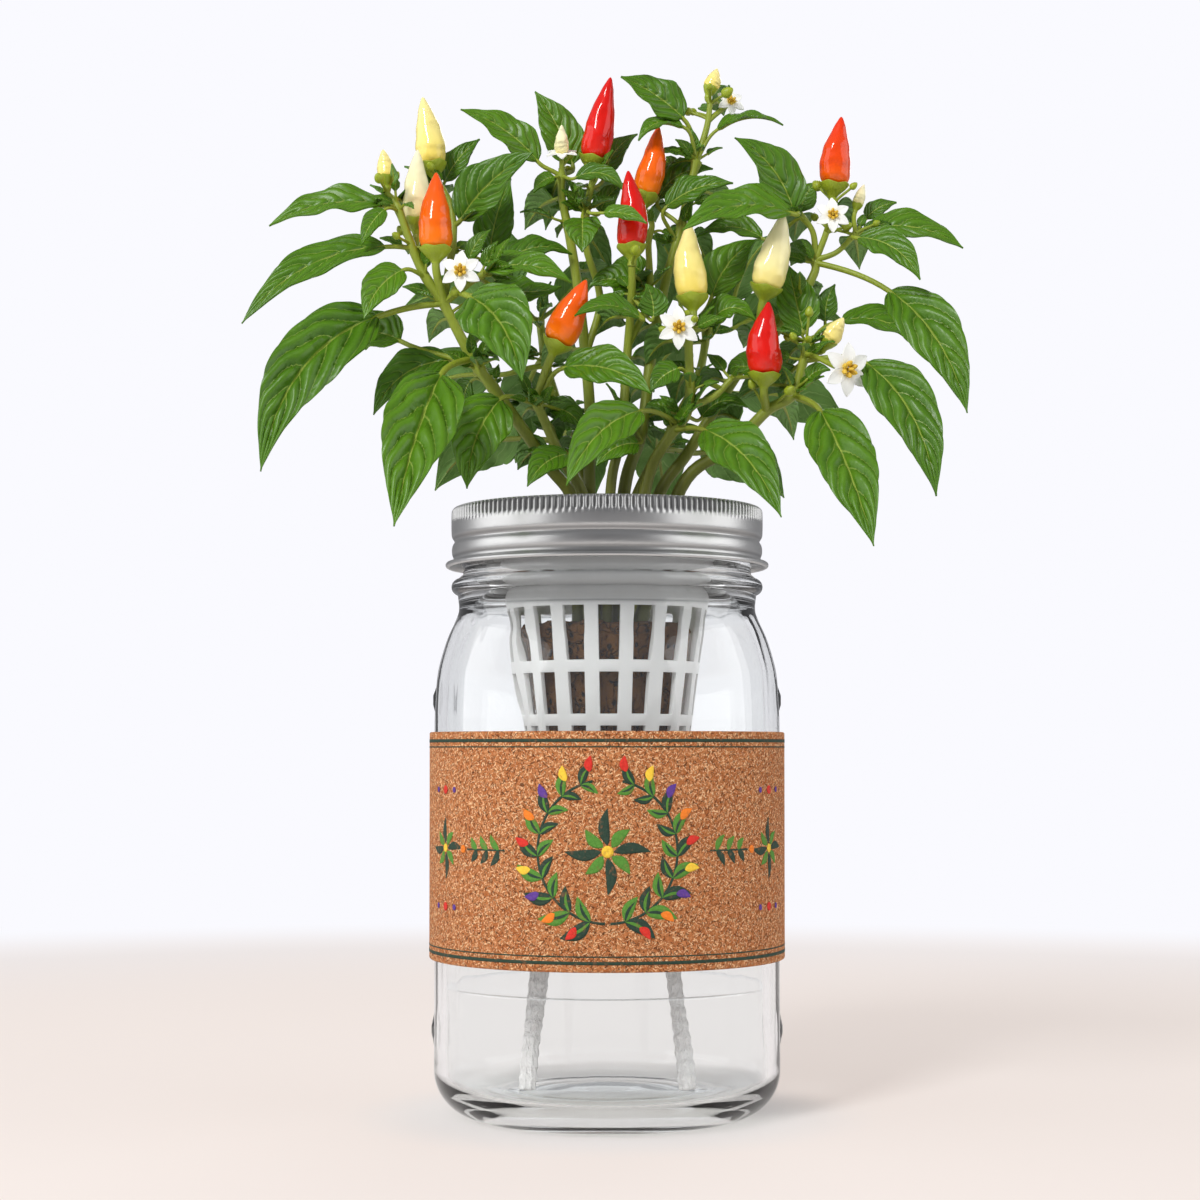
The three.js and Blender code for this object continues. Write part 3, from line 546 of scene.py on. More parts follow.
water_wall = JAR_RADIUS - WALL - WATER_GAP
profile = [(0, WATER_FOOT + 0.3), (30, WATER_FOOT)]
profile += arc((water_wall - INNER_HEEL, WATER_FOOT + INNER_HEEL), INNER_HEEL, -80, 0, 8)
profile += [(water_wall, 30), (water_wall, WATER_HEIGHT - 0.1), (water_wall, WATER_HEIGHT + 0.8),
            (water_wall - 0.7, WATER_HEIGHT + 0.3), (water_wall - 2.4, WATER_HEIGHT), (0, WATER_HEIGHT)]
water = lathe("water", profile, WATER_STEPS)
level = points_of(water)[:, 2] / MM - WATER_HEIGHT
note(water, "open", level > -0.05)
note(water, "rim", level > 0.1)
p = paint("still_water")
shine = p.node("BsdfGlossy", {}, {"Color": (1, 1, 1, 1), "Roughness": 0.02})
through = p.node("BsdfTransparent", {}, {"Color": (0.997, 1, 1, 1)})
glance = p.node("Fresnel", {}, {"IOR": 1.33})
shining = glance * p.kept("open") * 0.15 + p.kept("rim") * 0.4
coat(water, p.show(p.node("MixShader", {}, {0: shining, 1: through, 2: shine})))
dress(water, "jar", "glass")

# %% [markdown]
# ## The screw band
# The band is one sheet of tinned steel, drawn and rolled. From the top down it has a knurled grip, a
# smooth band, a groove, a bulge and a lip that is rolled outwards. The profile goes round the sheet, and
# the grip's flutes are cut by moving its points in and out as often as the real one has flutes.

# %% Turn the band
BAND_TOP = 171.9
FLUTES = 157
FLUTE_STEPS = 6
FLUTE_DEPTH = 0.7
FLUTE_FOOT = 4.1
GRIP_INSIDE = 43.55
GROOVE_INSIDE = 43.4
BAND_BORE = 38
GROOVE_SHADES = ((8.9, 0.5, 0.75), (13.9, 0.45, 0.6))
BAND_OUTSIDE = [(44.3, -1.6), (44.35, -4.4), (44.3, -7), (44.15, -8.2), (43.5, -9.3), (43.45, -9.8),
                (44, -10.8), (44.2, -12), (44.1, -13.2), (43.75, -14.2), (43.9, -15), (44.6, -15.5)]
BAND_INSIDE = [(44.2, -16.4), (43.4, -15.2), (43.2, -14.2), (43.55, -13.2), (43.6, -12), (43.4, -10.8),
               (42.85, -9.8), (42.9, -9.3), (43.4, -8.2), (43.5, -7), (43.4, -5), (43.3, -1.8), (42.6, -0.9),
               (BAND_BORE, -0.6)]

profile = [(BAND_BORE, 0), (41, 0), (42.6, 0)] + arc((42.9, -1.4), 1.4, 90, 10, 6)[1:]
profile += eased(BAND_OUTSIDE, 3)
profile += arc((45.2, -16.2), 0.8, 120, -160, 10)
profile += eased(BAND_INSIDE, 2) + [(BAND_BORE, -0.3), (BAND_BORE, 0)]
band = lathe("tin_band", [(r, BAND_TOP + z) for r, z in profile], FLUTES * FLUTE_STEPS)
at, reach, turn = polar(band)
down = BAND_TOP - at[:, 2]
grip = np.clip(down / 0.5, 0, 1) * np.clip((FLUTE_FOOT - down) / 0.6, 0, 1) * (reach > GRIP_INSIDE)
slot = grip * (0.5 + 0.5 * np.cos(FLUTES * turn)) ** 1.5
at[:, :2] *= (1 - FLUTE_DEPTH * slot / np.maximum(reach, 1))[:, None]
move_points(band, at * MM)
# The grooves join the flutes in the mask of painted shade that darkens the tin's colour.
for depth, spread, share in GROOVE_SHADES:
    slot += share * np.exp(-((down - depth) / spread) ** 2) * (reach > GROOVE_INSIDE)
note(band, "slot", np.minimum(slot, 1))

# %% [markdown]
# Tinned steel is a soft mirror. Fine lines from the lathe run round it and the tin has faint clouds. In the
# flutes and grooves its colour is painted dark grey, as painted shade.

# %% Tin
p = paint("satin_tin")
place = p.place()
lines = p.cloud(p.stretched(place, (0.02, 0.02, 1)), 9000, 3)
clouds = p.cloud(place, 90, 3)
bright = p.mix(clouds, srgb(196, 196, 195), srgb(212, 212, 211))
coat(band, p.show(p.principled(
    # Painted shade: the tin's colour goes dark grey in the flutes and grooves.
    base_color=p.mix(p.kept("slot") * 0.8, bright, srgb(72, 72, 74)),
    metallic=1.0,
    roughness=0.27 + lines * 0.1 + clouds * 0.06,
    normal=p.bump(lines, 0.00004, 0.5),
)))
dress(band, "band", "tin", "screw_band")

# %% [markdown]
# ## The net pot
# The pot is moulded in one piece. A flat strip is the easiest way to its slats: its columns are the
# eighteen slats and the gaps between, its rows the bars and the rows of windows, the window faces are
# deleted, and the strip is rolled into the cone. Solidify gives it the wall, and a bevel its soft edges.

# %% Roll up the pot
POT_TOP = 169.8
POT_DEPTH = 80
POT_FLOOR_RADIUS = 19.9
POT_MOUTH_RADIUS = 30.7
POT_WALL = 1.5
POT_RING = 26.8
SLATS = 18
SLAT_WIDTH = 3.6
SLAT_TURN = math.radians(-9)
WINDOW_PITCH = 14.6
WINDOW_BAR = 3.1
WINDOW_FOOT = 8.85
SLOT_SPAN = (6, 16.4)
POT_FLOOR_RINGS = (0.6, SLOT_SPAN[0], 9, 12, 14.5, SLOT_SPAN[1], 18.5)
FLANGE_RADII = (34, 37, 40.7)
FLANGE_RISE = 1.2
SECTOR = (-1, -0.5, 0, 0.5, 1)
GAP_STEPS = 6
SECTOR_STEPS = len(SECTOR) - 1 + GAP_STEPS


def pot_radius(depth):
    return POT_MOUTH_RADIUS + (POT_FLOOR_RADIUS - POT_MOUTH_RADIUS) * depth / POT_DEPTH


windows = []
for row in range(3):
    foot_height = WINDOW_FOOT + row * WINDOW_PITCH
    head_height = POT_DEPTH - POT_RING if row == 2 else foot_height + WINDOW_PITCH - WINDOW_BAR
    windows.append((foot_height, head_height))
levels = sorted({0, POT_DEPTH, *[edge for window in windows for edge in window]})
pot_rows = [(r, 0) for r in POT_FLOOR_RINGS]
for low, high in zip(levels, levels[1:]):
    count = max(1, round((high - low) / 4))
    pot_rows += [(None, low + (high - low) * k / count) for k in range(count)]
pot_rows += [(None, POT_DEPTH)] + [(r, POT_DEPTH + FLANGE_RISE) for r in FLANGE_RADII]
pot_columns = SLATS * SECTOR_STEPS


def pot_place(across, along):
    row = step_at(along, len(pot_rows) - 1)
    height = np.array([pot_rows[r][1] for r in row])
    radius = np.array([pot_rows[r][0] or pot_radius(POT_DEPTH - pot_rows[r][1]) for r in row])
    sector, step = np.divmod(step_at(across, pot_columns), SECTOR_STEPS)
    half = np.minimum(SLAT_WIDTH / 2 / radius, 0.36 * 2 * math.pi / SLATS)
    in_slat = step < len(SECTOR)
    slat_angle = half * np.array([SECTOR[s] if s < len(SECTOR) else 0 for s in step])
    gap_share = (step - len(SECTOR) + 1) / GAP_STEPS
    gap_angle = half + gap_share * (2 * math.pi / SLATS - 2 * half)
    angle = SLAT_TURN + 2 * math.pi * sector / SLATS + np.where(in_slat, slat_angle, gap_angle)
    return np.c_[radius * np.sin(angle), -radius * np.cos(angle), height + POT_TOP - POT_DEPTH] * MM


def delete_faces(piece, chosen):
    bpy.ops.object.mode_set(mode="EDIT")
    bpy.ops.mesh.select_mode(type="FACE")
    bpy.ops.mesh.select_all(action="DESELECT")
    bpy.ops.object.mode_set(mode="OBJECT")
    piece.data.polygons.foreach_set("select", chosen)
    bpy.ops.object.mode_set(mode="EDIT")
    bpy.ops.mesh.delete(type="FACE")
    bpy.ops.mesh.select_mode(type="VERT")
    bpy.ops.object.mode_set(mode="OBJECT")


pot = sheet("net_basket", pot_columns, len(pot_rows) - 1, pot_place)
middles = np.array([face.center for face in pot.data.polygons]) / MM
face_height = middles[:, 2] - (POT_TOP - POT_DEPTH)
face_reach = np.hypot(middles[:, 0], middles[:, 1])
face_sector, face_column = np.divmod(np.arange(len(middles)) % pot_columns, SECTOR_STEPS)
in_gap = face_column >= len(SECTOR) - 1
in_window = np.zeros(len(middles), bool)
for low, high in windows:
    in_window |= (face_height > low) & (face_height < high)
in_slot = (face_reach > SLOT_SPAN[0]) & (face_reach < SLOT_SPAN[1]) & (face_sector % 2 == 0)
delete_faces(pot, in_gap & ((in_window & (face_reach > POT_FLOOR_RADIUS)) | (in_slot & (face_height < 0.1))))
close_up()
finish_with(pot, "SOLIDIFY", thickness=POT_WALL * MM, offset=-1)
finish_with(pot, "BEVEL", width=0.3 * MM, segments=2, limit_method="ANGLE", angle_limit=math.radians(50))
bpy.ops.object.shade_smooth_by_angle(angle=math.radians(40))

# %% White plastic
p = paint("white_plastic")
place = p.place()
coat(pot, p.show(p.principled(
    base_color=p.mix(p.cloud(place, 120, 3), srgb(224, 224, 223), srgb(236, 236, 235)),
    roughness=0.32 + p.cloud(place, 700, 2) * 0.14,
    normal=p.bump(p.cloud(place, 1500, 2), 0.00008, 0.4),
)))
dress(pot, "insert", "white_plastic", "net_pot")

# %% [markdown]
# ## The grow plug
# Pressed coir is brown and crumbly, with short fibres, and pits and cracks whose near-black colour is painted
# shade. The plug is turned, then its points are pushed about by noise, most at the top edge, which is uneven.

# %% Press the plug
PLUG_FOOT = 91.9
PLUG_TOP = 138.0
PLUG_GAP = 0.9
PLUG_LUMPS = 0.45
PLUG_CRUMBS = 1.9
PLUG_STEPS = 112


def plug_radius(height):
    return pot_radius(POT_TOP - height) - POT_WALL - PLUG_GAP


wall = [(plug_radius(z), z) for z in np.linspace(PLUG_FOOT + 1.2, PLUG_TOP - 1.2, 40)]
shares = (0.97, 0.9, 0.8, 0.68, 0.55, 0.42, 0.3, 0.18, 0.08, 0)
top = [(plug_radius(PLUG_TOP) * share, PLUG_TOP) for share in shares]
profile = [(0, PLUG_FOOT), (12, PLUG_FOOT), (plug_radius(PLUG_FOOT) - 1, PLUG_FOOT)] + wall + top
plug = lathe("coir_plug", profile, PLUG_STEPS)
at, reach, _ = polar(plug)
lumps = bumps(at * 0.45) + 0.6 * bumps(at * 1.1)
at[:, :2] *= (1 + PLUG_LUMPS * np.minimum(lumps, 0.8) / np.maximum(reach, 4))[:, None]
crumbs = bumps(np.c_[at[:, :2] * 0.2, np.full(len(at), 3.0)])
at[:, 2] += PLUG_CRUMBS * np.minimum(crumbs, 0.4) * (at[:, 2] > PLUG_TOP - 2)
move_points(plug, at * MM)

p = paint("pressed_coir")
place = p.place()
grain = p.cloud(place, 900, 5, 0.65)
patches = p.cloud(place, 130, 3)
# Pits and cracks are bumps whose near-black colour is painted shade.
pits = 1 - p.cells(p.stretched(place, (1, 1, 0.8)), 380).step(0.2, 0.34)
chosen = p.cloud(place, 300, 1).step(0.46, 0.52)
fibres = p.cloud(p.stretched(place, (1, 1, 0.25)), 800, 2).step(0.6, 0.68)
shift = {0: p.wander(place, 160), 1: (0.02,) * 3, 2: place}
bent = p.node("VectorMath", {"operation": "MULTIPLY_ADD"}, shift)
cracks = (1 - p.cells(bent, 130, "DISTANCE_TO_EDGE").step(0.0, 0.06)) * p.cloud(place, 70, 2).step(0.4, 0.55)
ground = p.mix(patches, srgb(80, 48, 16), srgb(112, 74, 30))
ground = p.mix(grain * 0.5, ground, srgb(126, 84, 36))
ground = p.mix(fibres * 0.6, ground, srgb(38, 23, 14))
# Painted shade: the cracks, and below them the chosen pits, go near black.
ground = p.mix(cracks * 0.9, ground, srgb(24, 13, 7))
coat(plug, p.show(p.principled(
    base_color=p.mix(pits * chosen, ground, srgb(24, 14, 9)),
    roughness=0.95,
    normal=p.bump(grain - pits * chosen - cracks, 0.0009, 0.9),
)))
dress(plug, "insert", "coir", "grow_plug")

# %% [markdown]
# ## The cork wrap
# A millimetre of cork is glued round the jar, with its ends meeting at the back. It is spun from a
# rounded section, a little short of a full turn. Pressed cork is a mosaic of small chips, each with its
# own brown, with dark and pale flecks between them.

# %% Cork
CORK_INSIDE = 49.4
CORK_OUTSIDE = 50.4
CORK_FOOT = 44.5
CORK_TOP = 108.3
CORK_SEAM = 0.2
CORK_STEPS = 180
CORK_CHIPS = 950

edge = (CORK_OUTSIDE - CORK_INSIDE) / 2
middle = (CORK_OUTSIDE + CORK_INSIDE) / 2
profile = arc((middle, CORK_TOP - edge), edge, 0, 180, 6) + arc((middle, CORK_FOOT + edge), edge, 180, 360, 6)
profile.append(profile[0])
cork = lathe("cork_wrap", profile, CORK_STEPS, 2 * math.pi - CORK_SEAM / CORK_OUTSIDE)
bpy.ops.object.mode_set(mode="EDIT")
bpy.ops.mesh.select_all(action="SELECT")
bpy.ops.mesh.fill_holes(sides=0)
bpy.ops.object.mode_set(mode="OBJECT")
bpy.ops.object.shade_smooth_by_angle(angle=math.radians(50))

note(cork, "around", polar(cork)[2] * CORK_OUTSIDE * MM)
p = paint("pressed_cork")
flat = p.node("CombineXYZ", {}, {0: p.kept("around"), 1: p.parts(p.place())[2]})


def shreds(turn, scale, low, high):
    """Thin shreds that lie along one direction of the unrolled sheet."""
    values = {"Vector": flat, "Rotation": (0, 0, math.radians(turn)), "Scale": (1, 0.28, 1)}
    return p.cloud(p.node("Mapping", {"vector_type": "TEXTURE"}, values), scale, 2).step(low, high)


chips = p.parts(p.cells(flat, CORK_CHIPS, out="Color"))
edges = p.cells(flat, CORK_CHIPS, "DISTANCE_TO_EDGE").step(0.0, 0.14)
pale = shreds(20, 660, 0.6, 0.64).most(shreds(75, 700, 0.61, 0.65)).most(shreds(140, 680, 0.61, 0.65))
dark = shreds(50, 640, 0.6, 0.64).most(shreds(110, 680, 0.6, 0.64)).most(shreds(165, 660, 0.61, 0.65))
ground = p.mix(chips[0], srgb(180, 104, 58), srgb(206, 138, 88))
ground = p.mix(p.cloud(flat, 60, 3) * 0.4, ground, srgb(186, 112, 64))
ground = p.mix((1 - edges) * 0.35, ground, srgb(128, 74, 40))
ground = p.mix(pale * 0.85, ground, srgb(248, 210, 162))
ground = p.mix(dark * 0.9, ground, srgb(88, 48, 26))
coat(cork, p.show(p.principled(
    base_color=ground,
    roughness=0.88,
    specular_ior_level=0.2,
    normal=p.bump(edges * 0.5 + pale * 0.4 - dark * 0.4, 0.0003, 0.6),
)))
dress(cork, "jar", "cork", "cork_label")

# %% [markdown]
# ## The print on the cork
# The wrap carries a plain ornament in printer's colours: ruled lines, a wreath of leaves and berries with
# a leaf star inside, and small rosettes at the sides. Each shape is a small sheet in millimetres across
# and up the unrolled cork, which is then wrapped round it. Ink sinks into cork, so its colour takes on
# the chips below it.

# %% Shapes of ink
PRINT_RADIUS = CORK_OUTSIDE + 0.03
PRINT_SKIN = 0.05
PRINT_MIDDLE = (CORK_FOOT + CORK_TOP) / 2


def wrapped(across, up, layer=0):
    angle = across / CORK_OUTSIDE
    reach = PRINT_RADIUS + layer * PRINT_SKIN
    return np.c_[reach * np.sin(angle), -reach * np.cos(angle), PRINT_MIDDLE + up] * MM


def ink_leaf(root, turn, length, width, layer=0):
    def place(across, along):
        x = along * length
        half = width / 2 * np.sin(math.pi * along ** 0.8) ** 0.9
        y = half * (2 * across - 1) + 0.1 * length * np.sin(math.pi * along)
        right = root[0] + x * math.cos(turn) - y * math.sin(turn)
        return wrapped(right, root[1] + x * math.sin(turn) + y * math.cos(turn), layer)

    return sheet("leaf", 4, 10, place)


def ink_line(points, width):
    line = np.array(points)
    runs = unit(np.gradient(line, axis=0))

    def place(across, along):
        row = step_at(along, len(line) - 1)
        aside = (across - 0.5) * width
        return wrapped(line[row, 0] - aside * runs[row, 1], line[row, 1] + aside * runs[row, 0])

    return sheet("line", 1, len(line) - 1, place)


def ink_dot(centre, radius):
    def place(across, along):
        angle = -2 * math.pi * across
        reach = radius * np.maximum(along, 0.02)
        return wrapped(centre[0] + reach * np.cos(angle), centre[1] + reach * np.sin(angle), 3)

    return sheet("dot", 20, 2, place)


def ink(name, colour):
    p = paint(name)
    place = p.place()
    chips = p.cells(place, 900, "DISTANCE_TO_EDGE").step(0.0, 0.12)
    wear = p.cloud(place, 700, 3).step(0.56, 0.72)
    ground = p.mix(chips * 0.25, colour, tuple(min(1, 1.5 * c + 0.02) for c in colour))
    return p.show(p.principled(
        base_color=p.mix(wear * 0.4, ground, srgb(150, 96, 60)),
        roughness=0.8,
        normal=p.bump(chips, 0.0002, 0.5),
    ))


INKS = {
    "dark": ink("ink_dark_green", srgb(30, 56, 40)),
    "green": ink("ink_leaf_green", srgb(78, 132, 40)),
    "red": ink("ink_red", srgb(206, 38, 22)),
    "orange": ink("ink_orange", srgb(238, 122, 22)),
    "yellow": ink("ink_yellow", srgb(242, 192, 52)),
    "violet": ink("ink_violet", srgb(88, 50, 136)),
}

# %% [markdown]
# The wreath is two branches that rise from its foot to its head. A leaf leaves each branch outwards and
# one inwards at every step, and the berries sit between the outer leaves, in turns of four colours.

# %% Lay out the ornament
WREATH_RADIUS = 19
WREATH_SPAN = (-88, 78)
WREATH_STEPS = 9
RULES = ((29.4, 0.9), (27.7, 0.35))
ROSETTE_ACROSS = 54
BERRIES = ("red", "orange", "violet", "yellow")
prints = []


def lay(colour, shape):
    coat(shape, INKS[colour])
    prints.append(shape)


for up, width in RULES:
    for side in (-1, 1):
        half_turn = math.pi * CORK_OUTSIDE - CORK_SEAM
        lay("dark", ink_line([(x, side * up) for x in np.linspace(-half_turn, half_turn, 181)], width))
for side in (-1, 1):
    angles = np.radians(np.linspace(*WREATH_SPAN, 49))
    branch = [(side * WREATH_RADIUS * math.cos(a), WREATH_RADIUS * math.sin(a)) for a in angles]
    lay("dark", ink_line(branch, 0.7))
    for k in range(WREATH_STEPS):
        angle = math.radians(-76 + 162 * k / WREATH_STEPS)
        root = (side * WREATH_RADIUS * math.cos(angle), WREATH_RADIUS * math.sin(angle))
        ahead = math.atan2(math.cos(angle), -side * math.sin(angle))
        size = 9.4 - 0.36 * k
        for turn, share, colours in ((-0.75, 1, ("dark", "green")), (0.85, 0.8, ("green", "dark"))):
            lay(colours[k % 2], ink_leaf(root, ahead + side * turn, share * size, 0.42 * share * size, 1))
            lay(colours[1 - k % 2], ink_leaf(root, ahead + side * turn, 0.8 * share * size, 0.09 * size, 2))
        middle = angle + math.radians(9)
        reach = WREATH_RADIUS + 2.6
        root = (side * reach * math.cos(middle), reach * math.sin(middle))
        lay(BERRIES[k % 4], ink_leaf(root, ahead - side * 1.1, 4.4, 2.3, 3))
for centre, size in (((0, 0), 10), ((-ROSETTE_ACROSS, 0), 7.5), ((ROSETTE_ACROSS, 0), 7.5)):
    for k in range(8):
        length = size if k % 2 == 0 else 0.68 * size
        turn = math.pi * k / 4 + math.pi / 2
        root = (centre[0] + 0.16 * size * math.cos(turn), centre[1] + 0.16 * size * math.sin(turn))
        lay("dark" if k % 2 == 0 else "green", ink_leaf(root, turn, length, 0.3 * size, k % 2))
    lay("yellow", ink_dot(centre, 0.16 * size))
for side in (-1, 1):
    stroke = [(side * x, 0) for x in np.linspace(29, 43, 20)]
    lay("dark", ink_line(stroke, 0.5))
    for k, across in enumerate((31, 35, 39)):
        lay("green", ink_leaf((side * across, 0), math.pi / 2 - side * 0.6, 5.2 - 0.6 * k, 2.0))
        lay("dark", ink_leaf((side * across, 0), -math.pi / 2 + side * 0.6, 5.2 - 0.6 * k, 2.0))
    lay("orange", ink_dot((side * 44.6, 0), 1.1))
    for up in (-16, 16):
        lay("red", ink_dot((side * ROSETTE_ACROSS, up), 1.2))
        lay("violet", ink_dot((side * (ROSETTE_ACROSS - 5), up), 0.8))
        lay("violet", ink_dot((side * (ROSETTE_ACROSS + 5), up), 0.8))

printed = join("cork_print", prints)
finish_with(printed, "SOLIDIFY", thickness=PRINT_SKIN * MM, offset=0)
dress(printed, "jar", "cork")

# %% [markdown]
# ## The plant's measures
# The plant is laid out as in the CAD model, in millimetres from the middle of the band's top: across,
# depth and height. A stem has its radii and the points it runs through. A leaf has the stem and the share
# along it where its stalk starts, the blade's base and tip, the bow of its midrib, its width and how far
# its face turns from up (0) to the front (90) or the back (-90). A pepper has its base, tip, radius and
# colour, and a flower its middle, its facing, its radius and the length of what stands in its middle.

